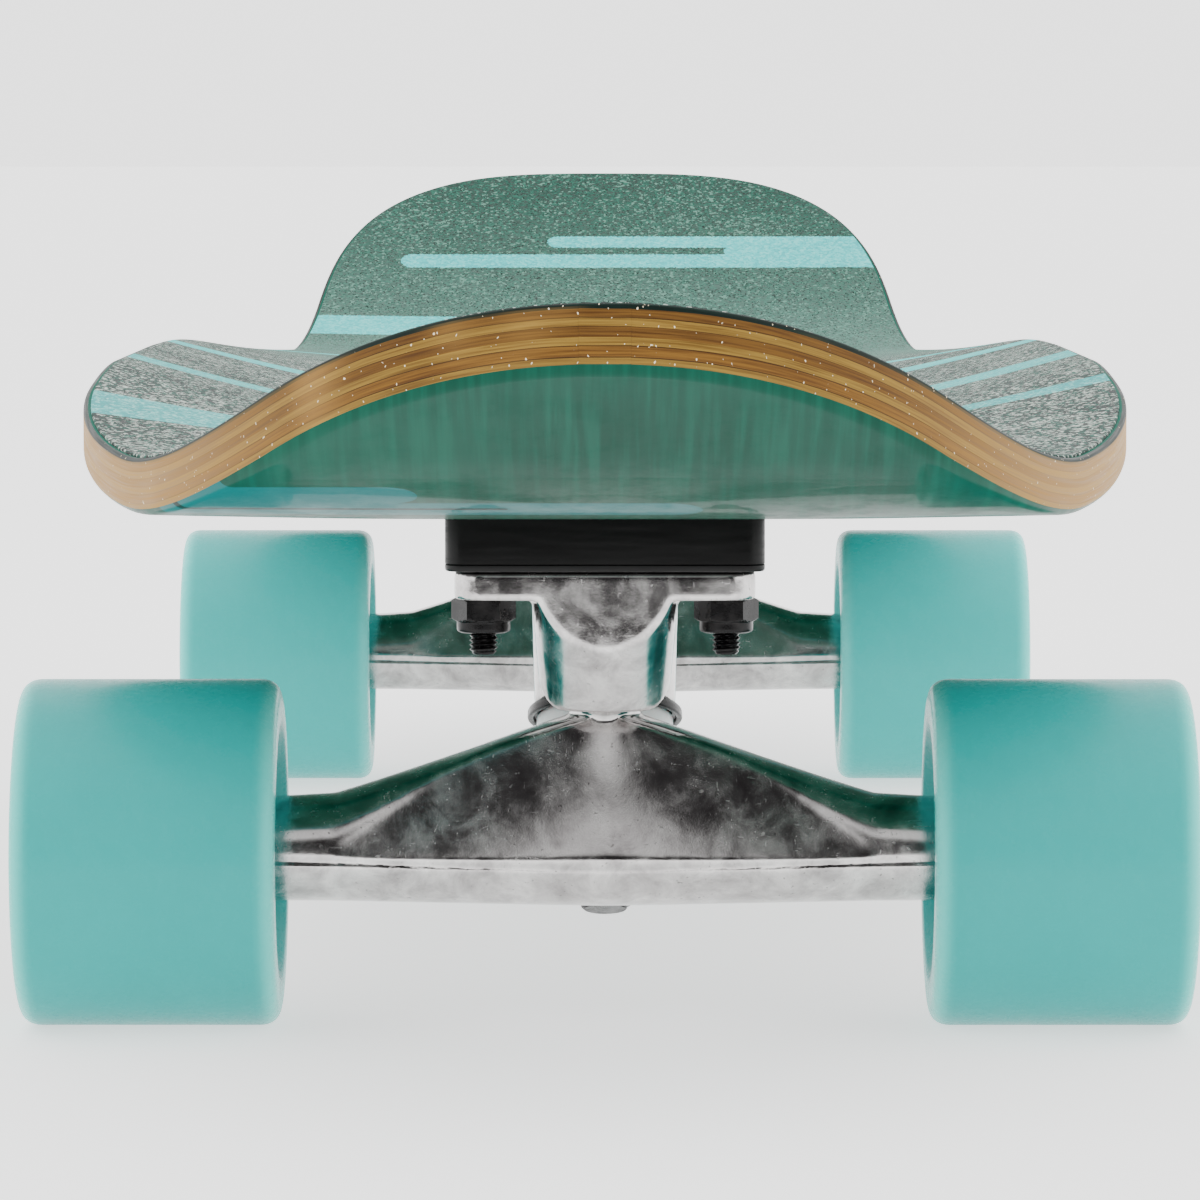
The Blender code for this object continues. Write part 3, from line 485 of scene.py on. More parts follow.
class Look:
    """A node material in the making. Noise, cells, bumps and stripes take sizes in millimetres, and
    the coordinates are the piece's own, in metres."""

    def __init__(self, name):
        self.material = bpy.data.materials.new(name)
        self.material.use_nodes = True
        self.tree = self.material.node_tree
        self.shader = self.tree.nodes["Principled BSDF"]
        self.place = self.add("TexCoord").outputs["Object"]

    def feed(self, socket, value):
        if isinstance(value, bpy.types.NodeSocket):
            self.tree.links.new(value, socket)
        else:
            socket.default_value = value

    def add(self, kind, *values, named=None, **settings):
        """A new node. values feed its first sockets, and named feeds others by name or number."""
        made = self.tree.nodes.new("ShaderNode" + kind)
        for key, value in settings.items():
            setattr(made, key, value)
        for key, value in [*enumerate(values), *(named or {}).items()]:
            self.feed(made.inputs[key], value)
        return made

    def maths(self, operation, *values):
        return self.add("Math", *values, operation=operation).outputs[0]

    def highest(self, values):
        """The highest of some values, at each point."""
        found = values[0]
        for value in values[1:]:
            found = self.maths("MAXIMUM", found, value)
        return found

    def stretched(self, factors, place=None):
        made = self.add("VectorMath", place or self.place, factors, operation="MULTIPLY")
        return made.outputs[0]

    def joined(self, x, y, z):
        return self.add("CombineXYZ", x, y, z).outputs[0]

    def split(self, place=None):
        return self.add("SeparateXYZ", place or self.place).outputs

    def attribute(self, name):
        return self.add("Attribute", attribute_name=name).outputs["Fac"]

    def noise(self, size, detail=3.0, roughness=0.5, place=None, distortion=0.0):
        """Noise whose features are about size across."""
        named = {
            "Vector": place or self.place,
            "Scale": 1 / (size * MM),
            "Detail": detail,
            "Roughness": roughness,
            "Distortion": distortion,
        }
        return self.add("TexNoise", named=named).outputs["Fac"]

    def cells(self, size):
        """(a random number for each cell, distance from the cell's middle)."""
        made = self.add("TexVoronoi", self.place, named={"Scale": 1 / (size * MM)})
        channels = self.add("SeparateColor", made.outputs["Color"])
        return channels.outputs[0], made.outputs["Distance"]

    def ranged(self, value, low, high, to_low=0.0, to_high=1.0):
        numbers = (low, high, to_low, to_high)
        return self.add("MapRange", value, *numbers, interpolation_type="SMOOTHSTEP").outputs[0]

    def ramp(self, value, *stops, steps=False):
        made = self.add("ValToRGB", value)
        made.color_ramp.interpolation = "CONSTANT" if steps else "LINEAR"
        elements = made.color_ramp.elements
        while len(elements) < len(stops):
            elements.new(0.5)
        for element, (position, tone) in zip(elements, stops):
            element.position = position
            element.color = shade(tone)
        return made.outputs[0]

    def mix(self, share, first, second, way="MIX"):
        named = {6: shade(first), 7: shade(second)}
        return self.add("Mix", share, named=named, data_type="RGBA", blend_type=way).outputs[2]

    def stripes(self, places, raggedness):
        """1 inside any of the stripes, whose ends are round, and 0 outside."""
        ragged = raggedness * MM
        shift = self.maths("MULTIPLY_ADD", self.noise(0.6, detail=1.0), ragged, -ragged / 2)
        x, y, _ = self.split()
        insides = []
        for along, half, start, end in np.array(places) * MM:
            before = self.maths("SUBTRACT", start + half, x)
            after = self.maths("SUBTRACT", x, end - half)
            past = self.highest([before, after, 0.0])
            aside = self.maths("SUBTRACT", y, along)
            square = self.maths("MULTIPLY_ADD", past, past, self.maths("MULTIPLY", aside, aside))
            distance = self.maths("ADD", self.maths("SQRT", square), shift)
            insides.append(self.maths("LESS_THAN", distance, half))
        return self.highest(insides)

    def bump(self, height, distance, strength=1.0):
        named = {"Strength": strength, "Distance": distance * MM, "Height": height}
        return self.add("Bump", named=named).outputs[0]

    def finish(self, **values):
        """The material, with sockets of its shader fed; base_color stands for Base Color."""
        for key, value in values.items():
            self.feed(self.shader.inputs[key.replace("_", " ").title().replace("Ior", "IOR")], value)
        return self.material


# ---------------------------------------------------------------- materials


def ply_edge_look():
    """Bare veneers under clear lacquer, seen on edge, with sanding dust caught in it."""
    look = Look("ply_edge")
    depth = look.attribute("depth")
    run = look.attribute("run")
    x, _, _ = look.split()
    along = look.joined(run, look.maths("MULTIPLY", depth, DECK_THICKNESS * MM), x)
    waver = look.noise(45, place=along)
    level = look.maths("MULTIPLY_ADD", waver, 0.05, look.maths("SUBTRACT", depth, 0.025))
    glue = (62, 40, 10)
    dark = (92, 62, 17)
    light = (122, 95, 36)
    warm = (106, 73, 23)
    # A thin line of glue lies over four of the veneers.
    stops = [(0.0, (2, 26, 20)), (0.11, dark)]
    for start, tone in ((0.23, light), (0.36, dark), (0.64, warm), (0.80, light)):
        stops += [(start, glue), (start + GLUE_SHARE, tone)]
    stops.insert(6, (0.52, light))
    veneers = look.ramp(level, *stops, steps=True)
    streaks = look.noise(1, detail=4, place=look.stretched((0.06, 3.5, 0.06), along))
    grain = look.ramp(streaks, (0.32, (150, 125, 95)), (0.62, (255, 255, 255)))
    shaded = look.mix(0.75, veneers, grain, "MULTIPLY")
    pale_place = look.noise(55, detail=2, place=along)
    patches = look.ranged(pale_place, 0.50, 0.70, 0.0, 0.35)
    outwards = look.ranged(look.maths("ABSOLUTE", x), 35 * MM, 100 * MM, 0.0, 0.6)
    pale = look.maths("ADD", patches, outwards)
    veneer_only = look.ranged(depth, 0.06, 0.09)
    toned = look.mix(look.maths("MULTIPLY", pale, veneer_only), shaded, (186, 144, 78))
    specks = look.ranged(look.noise(0.7, detail=1, place=along), 0.74, 0.76)
    dusty = look.mix(specks, toned, (206, 192, 164))
    return look.finish(
        base_color=dusty,
        roughness=look.ranged(streaks, 0.3, 0.7, 0.42, 0.6),
        normal=look.bump(streaks, 0.05, 0.6),
        specular_ior_level=0.15,
    )


def lacquer_look():
    """Green stained veneer and turquoise print under thick gloss lacquer."""
    look = Look("green_lacquer")
    grain = look.noise(1.6, detail=4, place=look.stretched((1, 0.04, 0.04)))
    cloud = look.noise(40, detail=2)
    deep = look.mix(cloud, (0, 46, 34), (0, 70, 54))
    stained = look.mix(look.ranged(grain, 0.35, 0.75, 0.0, 0.45), deep, (5, 86, 68))
    printed = look.stripes(BASE_STRIPES, 0.05)
    slot = look.stripes((BASE_SLOT,), 0.05)
    turquoise = look.mix(cloud, (0, 84, 86), (2, 98, 96))
    striped = look.mix(printed, stained, turquoise)
    final = look.mix(slot, striped, (2, 34, 28))
    scuffs = look.noise(9, detail=5, roughness=0.7)
    return look.finish(
        base_color=final,
        roughness=look.ranged(scuffs, 0.4, 0.7, 0.3, 0.42),
        specular_ior_level=0.04,
        coat_weight=0.16,
        coat_roughness=0.03,
        coat_ior=1.35,
        normal=look.bump(look.noise(30, detail=1), 0.1, 0.3),
    )


def veneer_look():
    """The painted top veneer, which shows as a dark border round the grip."""
    look = Look("top_veneer")
    grain = look.noise(1.2, detail=4, place=look.stretched((1, 0.06, 1)))
    return look.finish(
        base_color=look.mix(grain, (6, 62, 50), (18, 92, 76)),
        roughness=look.ranged(grain, 0.3, 0.7, 0.6, 0.8),
        specular_ior_level=0.05,
        normal=look.bump(grain, 0.04, 0.5),
    )


def grip_look():
    """Printed grip: coarse clear grit over green, with turquoise stripes."""
    look = Look("printed_grip")
    grit, from_middle = look.cells(0.62)
    fine, _ = look.cells(0.33)
    patches = look.noise(22, detail=3)
    shift = look.maths("MULTIPLY_ADD", patches, 0.5, look.maths("SUBTRACT", grit, 0.25))
    soft = look.ramp(
        shift,
        (0.0, (10, 48, 38)),
        (0.34, (20, 66, 54)),
        (0.66, (34, 84, 70)),
        (0.84, (78, 118, 104)),
        steps=True,
    )
    coarse = look.ramp(
        shift,
        (0.0, (2, 12, 10)),
        (0.36, (16, 54, 45)),
        (0.58, (52, 96, 84)),
        (0.74, (158, 168, 160)),
        steps=True,
    )
    _, y, _ = look.split()
    faded = look.ranged(y, 250 * MM, 369 * MM, 0.5, 0.0)
    towards_tail = look.ranged(y, 60 * MM, 240 * MM)
    grained = look.mix(towards_tail, coarse, look.mix(faded, soft, (94, 132, 120)))
    peppered = look.mix(look.ranged(fine, 0.84, 0.88), grained, (8, 24, 20))
    stripes = look.stripes(GRIP_STRIPES, 1.1)
    wear = look.ranged(y, -250 * MM, 150 * MM, 0.6, 1.0)
    print_mask = look.maths("MULTIPLY", stripes, wear)
    tones = ((0.0, (32, 152, 153)), (0.4, (46, 172, 171)), (0.9, (94, 189, 185)))
    turquoise = look.ramp(shift, *tones)
    return look.finish(
        base_color=look.mix(print_mask, peppered, turquoise),
        roughness=look.ranged(grit, 0.0, 1.0, 0.6, 0.95),
        normal=look.bump(look.maths("SUBTRACT", grit, from_middle), 0.18, 0.8),
        specular_ior_level=0.2,
    )


def riser_look():
    """Hard black moulded plastic."""
    look = Look("black_riser")
    mould = look.noise(0.5, detail=2)
    scuff = look.noise(2, detail=4, place=look.stretched((0.15, 0.15, 2.5)))
    return look.finish(
        base_color=look.mix(look.ranged(scuff, 0.6, 0.75), (5, 5, 5), (16, 15, 15)),
        roughness=look.ranged(scuff, 0.35, 0.7, 0.34, 0.5),
        specular_ior_level=0.22,
        normal=look.bump(mould, 0.03, 0.5),
    )


def aluminium_look(name, darkest, brightest):
    """Tumble-polished casting: mottled, with pits and short scratches in every direction."""
    look = Look(name)
    mottle = look.noise(7, detail=6, roughness=0.65, distortion=0.4)
    pits = look.ranged(look.noise(0.8, detail=2), 0.68, 0.76)
    tone = look.ramp(mottle, (0.3, darkest), (0.7, brightest))
    stained = look.mix(look.maths("MULTIPLY", pits, 0.55), tone, (72, 66, 62))
    directions = []
    for factors in ((0.12, 2.2, 1.8), (1.7, 1.2, 0.35), (0.5, 1.9, 1.1)):
        lines = look.noise(0.8, detail=2, distortion=0.8, place=look.stretched(factors))
        directions.append(look.ranged(lines, 0.70, 0.74))
    scratches = look.highest(directions)
    grain = look.noise(0.35, detail=2)
    relief = look.maths("MULTIPLY_ADD", scratches, -0.35, look.maths("SUBTRACT", grain, pits))
    dull = look.maths("MULTIPLY", scratches, 0.12)
    return look.finish(
        base_color=stained,
        metallic=1.0,
        roughness=look.maths("ADD", look.ranged(mottle, 0.35, 0.68, 0.10, 0.22), dull),
        normal=look.bump(relief, 0.02, 0.25),
    )


def steel_look(name, dark, light, low_rough, high_rough, metallic=1.0):
    """Plated or blackened steel with fine wear."""
    look = Look(name)
    wear = look.noise(2.5, detail=5, roughness=0.7)
    grain = look.noise(0.3, detail=2)
    return look.finish(
        base_color=look.mix(look.ranged(wear, 0.45, 0.75), dark, light),
        metallic=metallic,
        roughness=look.ranged(wear, 0.35, 0.7, low_rough, high_rough),
        normal=look.bump(grain, 0.02, 0.5),
    )


def urethane_look(name, body, rim, cloudy):
    """Cast urethane: a little light passes into it. Its rims are paler, partly from wear and partly as
    painted light shining through the thin lips.
    """
    look = Look(name)
    cloud = look.noise(12, detail=3)
    toned = look.mix(look.ranged(cloud, 0.2, 0.8, 0.3, 0.7), body, cloudy)
    # The paler rim colour is partly wear and partly painted light, the glow through the thin lips.
    pale = look.mix(look.attribute("rim"), toned, rim)
    lathe = look.noise(0.5, detail=2, place=look.stretched((1, 0.02, 0.02)))
    scuff = look.noise(3, detail=5, roughness=0.7)
    return look.finish(
        base_color=pale,
        roughness=look.ranged(scuff, 0.35, 0.72, 0.24, 0.32),
        specular_ior_level=0.13,
        subsurface_weight=0.35,
        subsurface_scale=5 * MM,
        subsurface_radius=(0.5, 1.0, 0.95),
        normal=look.bump(look.maths("ADD", lathe, scuff), 0.02, 0.4),
    )


def rubber_look(name, dark, worn):
    """Hard rubber."""
    look = Look(name)
    wear = look.noise(2, detail=4)
    return look.finish(
        base_color=look.mix(wear, dark, worn),
        roughness=look.ranged(wear, 0.3, 0.7, 0.4, 0.6),
        normal=look.bump(look.noise(0.4, detail=2), 0.02, 0.5),
    )


def make_looks():
    return {
        "ply": ply_edge_look(),
        "lacquer": lacquer_look(),
        "veneer": veneer_look(),
        "grip": grip_look(),
        "riser": riser_look(),
        "casting": aluminium_look("polished_casting", (150, 146, 146), (222, 220, 218)),
        "black": steel_look("blackened_steel", (7, 6, 7), (28, 26, 26), 0.22, 0.42, 0.6),
        "steel": steel_look("plated_steel", (150, 150, 154), (205, 205, 206), 0.14, 0.3),
        "race": steel_look("bearing_steel", (140, 141, 146), (190, 190, 194), 0.1, 0.24),
        "front_wheel": urethane_look("turquoise_wheel", (20, 146, 142), (84, 192, 183), (26, 151, 147)),
        # The rear wheels are the same urethane, painted paler: painted light, for the light that falls
        # on them from behind.
        "rear_wheel": urethane_look(
            "turquoise_wheel_painted_backlit", (38, 168, 164), (92, 200, 193), (46, 173, 168)
        ),
        "bushing": urethane_look("white_bushing", (226, 230, 230), (238, 240, 238), (214, 218, 216)),
        "cup": rubber_look("black_cup", (16, 16, 16), (40, 38, 38)),
    }


LOOKS = make_looks()


# ---------------------------------------------------------------- deck


def outline_half_width(y):
    """Half of the deck's width at y."""
    taper = np.maximum((y - TAIL_TAPER_Y) / (TAIL_CORNER_Y - TAIL_TAPER_Y), 0)
    nose = np.clip((NOSE_ARC_Y - y) / (NOSE_ARC_Y - NOSE_TIP_Y), 0, 1)
    tail = np.clip((y - TAIL_CORNER_Y) / (TAIL_TIP_Y - TAIL_CORNER_Y), 0, 1)
    width = HALF_WIDTH - TAIL_TAPER * taper**2
    width = width * (1 - nose**NOSE_POWER) ** (1 / NOSE_POWER)
    width = width * (1 - tail**TAIL_CORNER_POWER) ** (1 / TAIL_CORNER_POWER)
    return np.maximum(width, TIP_HALF_WIDTH)


def deck_rise(x, y):
    """Height of the deck's top over its flat middle: the upturned ends and the raised rails."""
    run = np.maximum(np.maximum(NOSE_KICK_Y - y, y - TAIL_KICK_Y), 0)
    arc = np.minimum(run, KICK_RADIUS * math.sin(KICK_ANGLE))
    kick = KICK_RADIUS - np.sqrt(KICK_RADIUS**2 - arc**2)
    kick = kick + (run - arc) * math.tan(KICK_ANGLE)
    share = np.maximum(np.abs(x) - FLAT_HALF_WIDTH, 0) / (HALF_WIDTH - FLAT_HALF_WIDTH)
    bend = np.hypot(share, RAIL_SOFTNESS) - RAIL_SOFTNESS
    full_bend = math.hypot(1, RAIL_SOFTNESS) - RAIL_SOFTNESS
    along = smoothstep(y, *RAIL_GROWS_Y) * (1 - smoothstep(y, *RAIL_FADES_Y))
    return kick + RAIL_RISE * along * bend / full_bend


def deck_point(x, y, depth):
    """Points at a depth under the deck's top. The edge is cut upright, so depth only goes down."""
    step = 0.1
    slope_x = (deck_rise(x + step, y) - deck_rise(x - step, y)) / (2 * step)
    slope_y = (deck_rise(x, y + step) - deck_rise(x, y - step)) / (2 * step)
    drop = depth * np.sqrt(1 + slope_x**2 + slope_y**2)
    return np.stack([x, y, DECK_TOP_Z + deck_rise(x, y) - drop], -1)


def deck_stations():
    """Places along the board, closer together towards its ends."""
    quarter = np.sin(np.linspace(0, math.pi / 2, END_STATIONS))
    nose = NOSE_ARC_Y + (NOSE_TIP_Y - NOSE_ARC_Y) * quarter[::-1]
    middle = np.linspace(NOSE_ARC_Y, TAIL_CORNER_Y, MIDDLE_STATIONS)[1:-1]
    tail = TAIL_CORNER_Y + (TAIL_TIP_Y - TAIL_CORNER_Y) * quarter
    return np.concatenate([nose, middle, tail])


def inset_outline(y, inset):
    """(half widths, places along) of the deck's outline moved inwards."""
    half = outline_half_width(y)
    loop_x = np.concatenate([half, -half[::-1]])
    loop_y = np.concatenate([y, y[::-1]])
    run_x = np.roll(loop_x, -1) - np.roll(loop_x, 1)
    run_y = np.roll(loop_y, -1) - np.roll(loop_y, 1)
    length = np.hypot(run_x, run_y)
    moved_x = loop_x - inset * run_y / length
    moved_y = loop_y + inset * run_x / length
    return moved_x[: len(y)], moved_y[: len(y)]


def sheet_face(inset, depth):
    """Points of one face of a sheet that follows the deck, as rows across the board."""
    half, along = inset_outline(deck_stations(), inset)
    share = np.linspace(-1, 1, SHEET_COLUMNS)
    x = half[:, None] * share[None, :]
    y = np.repeat(along[:, None], SHEET_COLUMNS, axis=1)
    return deck_point(x, y, depth).reshape(-1, 3)


def sheet_rim(inset, depth):
    """Points round the edge of a sheet that follows the deck."""
    half, along = inset_outline(deck_stations(), inset)
    x = np.concatenate([half, -half[::-1]])
    y = np.concatenate([along, along[::-1]])
    return deck_point(x, y, depth)


def rim_runs():
    """Distance of each point of the rim from the nose tip, along the rim, in metres."""
    y = deck_stations()
    half = outline_half_width(y)
    steps = np.hypot(np.diff(half), np.diff(y))
    runs = np.concatenate([[0], np.cumsum(steps)])
    return np.concatenate([runs, runs[::-1]]) * MM


def sheet_mesh(name, edge, indices):
    """A sheet that follows the deck. edge holds (inset, depth) down its rim, and indices the
    numbers of the looks of its top, of each strip of its rim and of its bottom."""
    row_count = len(deck_stations())
    thickness = edge[-1][1] - edge[0][1]
    parts = [sheet_face(*edge[0]), sheet_face(*edge[-1])]
    rims = np.concatenate([sheet_rim(*step) for step in edge])
    face_quads = grid_faces(row_count, SHEET_COLUMNS, wrap_columns=False)
    rim_quads = grid_faces(len(edge), 2 * row_count)
    first_rim = 2 * len(parts[0])
    points = np.concatenate([*parts, rims])
    faces = np.concatenate([face_quads, face_quads + len(parts[0]), rim_quads + first_rim])
    depth = np.concatenate([np.full(len(part), share) for part, share in zip(parts, (0.0, 1.0))])
    rim_depth = [np.full(2 * row_count, (step[1] - edge[0][1]) / thickness) for step in edge]
    depth = np.concatenate([depth, *rim_depth])
    run = np.concatenate([np.zeros(first_rim), np.tile(rim_runs(), len(edge))])
    top_look, strip_looks, bottom_look = indices
    of_faces = [top_look] * len(face_quads) + [bottom_look] * len(face_quads)
    for strip_look in strip_looks:
        of_faces += [strip_look] * (2 * row_count)
    return make_mesh(name, points, faces, [("depth", depth), ("run", run)], of_faces)


def quarter_round(inset, drop, count):
    """(inset, depth) down a rounded top edge."""
    angles = np.linspace(0, math.pi / 2, count + 1)
    return [(inset * (1 - math.sin(angle)), drop * (1 - math.cos(angle))) for angle in angles]


def build_deck():
    top = quarter_round(TOP_ROUND, TOP_ROUND, 5)
    bottom = quarter_round(BOTTOM_ROUND_INSET, BOTTOM_ROUND, 10)
    bottom = [(inset, DECK_THICKNESS - depth) for inset, depth in reversed(bottom)]
    straight = np.linspace(TOP_ROUND, DECK_THICKNESS - BOTTOM_ROUND, 5)[1:-1]
    edge = top + [(0.0, depth) for depth in straight] + bottom
    strip_looks = [1 if depth < DECK_THICKNESS - LACQUER_DEPTH else 2 for _, depth in edge[:-1]]
    mesh = sheet_mesh("deck_board", edge, (0, strip_looks, 2))
    looks = ["veneer", "ply", "lacquer"]
    make_piece("deck_board", mesh, looks, "board", ["deck"], sharp=50)


def build_grip():
    lift = 0.02
    round_off = 0.3
    edge = [
        (GRIP_INSET + inset, depth - GRIP_THICKNESS)
        for inset, depth in quarter_round(round_off, round_off, 3)
    ]
    edge.append((GRIP_INSET, -lift))
    mesh = sheet_mesh("grip_tape", edge, (0, [0] * (len(edge) - 1), 0))
    make_piece("grip_tape", mesh, ["grip"], "board", ["grip_sheet"], sharp=50)


# ---------------------------------------------------------------- mounting hardware


def side_word(truck_x, end):
    """left or right for a place in a truck's frame, as the rider sees it."""
    return "left" if (truck_x > 0) == (end == "front") else "right"


def bolt_places():
    """(side, row, placing) of each bolt in a truck's frame."""
    for row, along in (("outer", -BOLT_Y), ("inner", BOLT_Y)):
        for side in (-1, 1):
            yield side, row, Matrix.Translation((side * BOLT_X, PLATE_MIDDLE_Y + along, 0))


def bolt_outline():
    head = BOLT_HEAD_Z + 0.1
    socket_floor = head - 1.5
    return [
        (0, socket_floor, 0),
        (SOCKET_RADIUS * 0.9, socket_floor, 0.1),
        (SOCKET_RADIUS, head, 0.15),
        (BOLT_HEAD_RADIUS, head, 0.3),
        (BOLT_HEAD_RADIUS, head - 0.4, 0.1),
        (BOLT_RADIUS, head - 2.5, 0.2),
        (BOLT_RADIUS, LOCK_NUT_HIGH_Z, 0),
        (BOLT_RADIUS, BOLT_END_Z + 0.7, 0),
        (BOLT_RADIUS * 0.72, BOLT_END_Z, 0.1),
        (0, BOLT_END_Z, 0),
    ]


def socket_and_thread(socket_radius, cut_thread):
    """A hexagon socket in the head, and a thread on the shank."""

    def shape(radius, angle, height):
        from_flat = angle % (math.pi / 3) - math.pi / 6
        share = math.cos(math.pi / 6) / np.cos(from_flat)
        in_socket = (radius <= socket_radius * 1.02) & (height > GRIP_TOP_Z - 2)
        return np.where(in_socket, radius * share, cut_thread(radius, angle, height))

    return shape


def threaded_outline(corners, has_thread, step):
    """A rounded open outline, with fine steps only where has_thread says so of a height."""
    plain = rounded(corners, closed=False, steps=3)
    points = [plain[0]]
    for start, end in zip(plain, plain[1:]):
        reach = step if has_thread((start[1] + end[1]) / 2) else UNCUT
        points += finely([start, end], reach)[1:]
    return points


def nyloc_outline(low, high, radius, collar_height, collar_radius, bore, step=0.4):
    """A lock nut: chamfered hexagon, and a rounded collar that holds the nylon ring."""
    flats = radius * math.cos(math.pi / 6)
    hex_low = low + collar_height
    chamfer = (radius - flats) * 0.62
    corners = [
        (bore, high - 0.4, 0),
        (bore + 0.5, high, 0.1),
        (flats * 0.97, high, 0.15),
        (radius, high - chamfer, 0),
        (radius, hex_low + chamfer, 0),
        (flats * 0.99, hex_low, 0.15),
        (collar_radius, hex_low - 0.05, 0.3),
        (collar_radius, low + 0.3, 0.5),
        (collar_radius - 0.8, low, 0.3),
        (bore + 0.9, low, 0.2),
        (bore + 0.7, low + 0.4, 0.1),
        (bore, low + 0.6, 0),
    ]
    return finely(rounded(corners, steps=3), step, closed=True)


def nut_piece(name, outline, radius, place, body, node):
    """A black nut. radius is that of its corners."""
    cut = {"columns": 120, "shape": hexagon(radius)}
    turned_piece(name, outline, place, "black", body, node, "black_steel", sharp=28, **cut)


def build_hardware(end, truck):
    """The eight fasteners that hold one truck and its riser to the deck."""
    shank_cut = thread(BOLT_PITCH, 0.45, BOLT_RADIUS, BOLT_END_Z, LOCK_NUT_HIGH_Z + 1)
    turning = {"closed": False, "columns": 48, "shape": socket_and_thread(SOCKET_RADIUS, shank_cut)}
    shank = threaded_outline(
        bolt_outline(), lambda height: BOLT_END_Z <= height <= LOCK_NUT_HIGH_Z, BOLT_PITCH / 9
    )
    nut = nyloc_outline(LOCK_NUT_LOW_Z, LOCK_NUT_HIGH_Z, *DECK_NUT_SIZES, step=0.35)
    for side, row, bolt_place in bolt_places():
        place = truck @ bolt_place
        label = f"{row}_{side_word(side, end)}"
        name = f"{end}_deck_bolt_{label}"
        bolt = f"{end}_bolt_{label}"
        turned_piece(name, shank, place, "black", "board", bolt, "black_steel", **turning)
        name = f"{end}_nyloc_{label}"
        nut_piece(name, nut, DECK_NUT_SIZES[0], place, "board", f"{end}_lock_nut_{label}")


# ---------------------------------------------------------------- riser


def rounded_rectangle(half_x, half_y, corner, inset, steps=8):
    """Points round a rectangle with round corners, moved inwards."""
    points = []
    for quarter in range(4):
        turn = math.pi / 2 * quarter
        middle_x = (half_x - corner) * (1 if quarter in (0, 3) else -1)
        middle_y = (half_y - corner) * (1 if quarter in (0, 1) else -1)
        for step in range(steps + 1):
            angle = turn + math.pi / 2 * step / steps
            reach = corner - inset
            points.append((middle_x + reach * math.cos(angle), middle_y + reach * math.sin(angle)))
    return points


def block_mesh(name, half_x, half_y, corner, levels, middle_y, matrix):
    """A block with round corners. levels holds (inset, height) from its bottom to its top."""
    rows = []
    for inset, height in levels:
        for x, y in rounded_rectangle(half_x, half_y, corner, inset):
            rows.append((x, y + middle_y, height))
    faces = capped_faces(len(levels), len(rows) // len(levels))
    return make_mesh(name, placed(np.array(rows), matrix), faces)


def build_riser(end, truck):
    """A block with soft edges and a groove along its parting line."""
    edge = 0.5
    groove = 0.15
    parting = (RISER_LOW_Z + RISER_HIGH_Z) / 2 - RISER_PARTING_DROP
    arc = [(edge * (1 - math.sin(a)), edge * (1 - math.cos(a))) for a in (0, 0.5, 1.0, math.pi / 2)]
    levels = [(inset, RISER_LOW_Z + rise) for inset, rise in arc]
    levels += [(0, parting - groove), (groove, parting), (0, parting + groove)]
    levels += [(inset, RISER_HIGH_Z - rise) for inset, rise in reversed(arc)]
    name = f"{end}_riser_block"
    sides = (RISER_WIDTH / 2, RISER_LENGTH / 2, RISER_CORNER)
    mesh = block_mesh(name, *sides, levels, PLATE_MIDDLE_Y, truck)
    make_piece(name, mesh, ["riser"], "board", [f"{end}_riser"])


# ---------------------------------------------------------------- castings


def rod(radius, low, high, place, top_radius=None):
    """A helper cylinder between two heights of a placing. With a top radius it is a cone."""
    top_radius = top_radius or radius
    outline = [(0, low), (radius, low), (top_radius, high), (0, high)]
    return helper(turned_mesh("rod", outline, place, closed=False))


def box_helper(low, high):
    """A helper box between two corners."""
    middle = (Vector(low) + Vector(high)) / 2 * MM
    size = (Vector(high) - Vector(low)) * MM
    place = Matrix.Translation(middle) @ Matrix.Diagonal((*size, 1))
    shape = bmesh.new()
    bmesh.ops.create_cube(shape, size=1, matrix=place)
    mesh = bpy.data.meshes.new("box")
    shape.to_mesh(mesh)
    shape.free()
    return helper(mesh)


def add_booleans(base, joined, cut):
    for operation, others in (("UNION", joined), ("DIFFERENCE", cut)):
        for other in others:
            step = base.modifiers.new("step", "BOOLEAN")
            step.operation = operation
            step.solver = "EXACT"
            step.object = other


def after_booleans(base, joined, cut):
    """The mesh of the base with shapes joined and cut. The helpers go."""
    add_booleans(base, joined, cut)
    return evaluated_mesh(base, [*joined, *cut])


def evaluated_mesh(base, others):
    graph = bpy.context.evaluated_depsgraph_get()
    mesh = bpy.data.meshes.new_from_object(base.evaluated_get(graph))
    for obj in [base, *others]:
        bpy.data.objects.remove(obj, do_unlink=True)
    return mesh


def cast(base, joined, cut, softening):
    """One casting: shapes joined and cut, then remeshed finely and softened, which fillets every
    edge and corner as a mould does."""
    add_booleans(base, joined, cut)
    skin = base.modifiers.new("skin", "REMESH")
    skin.mode = "VOXEL"
    skin.voxel_size = VOXEL * MM
    soften = base.modifiers.new("soften", "SMOOTH")
    soften.factor = 0.5
    soften.iterations = softening
    return evaluated_mesh(base, [*joined, *cut])


def mesh_points(mesh):
    """The mesh's points in millimetres."""
    flat = np.empty(len(mesh.vertices) * 3)
    mesh.vertices.foreach_get("co", flat)
    return flat.reshape(-1, 3) / MM


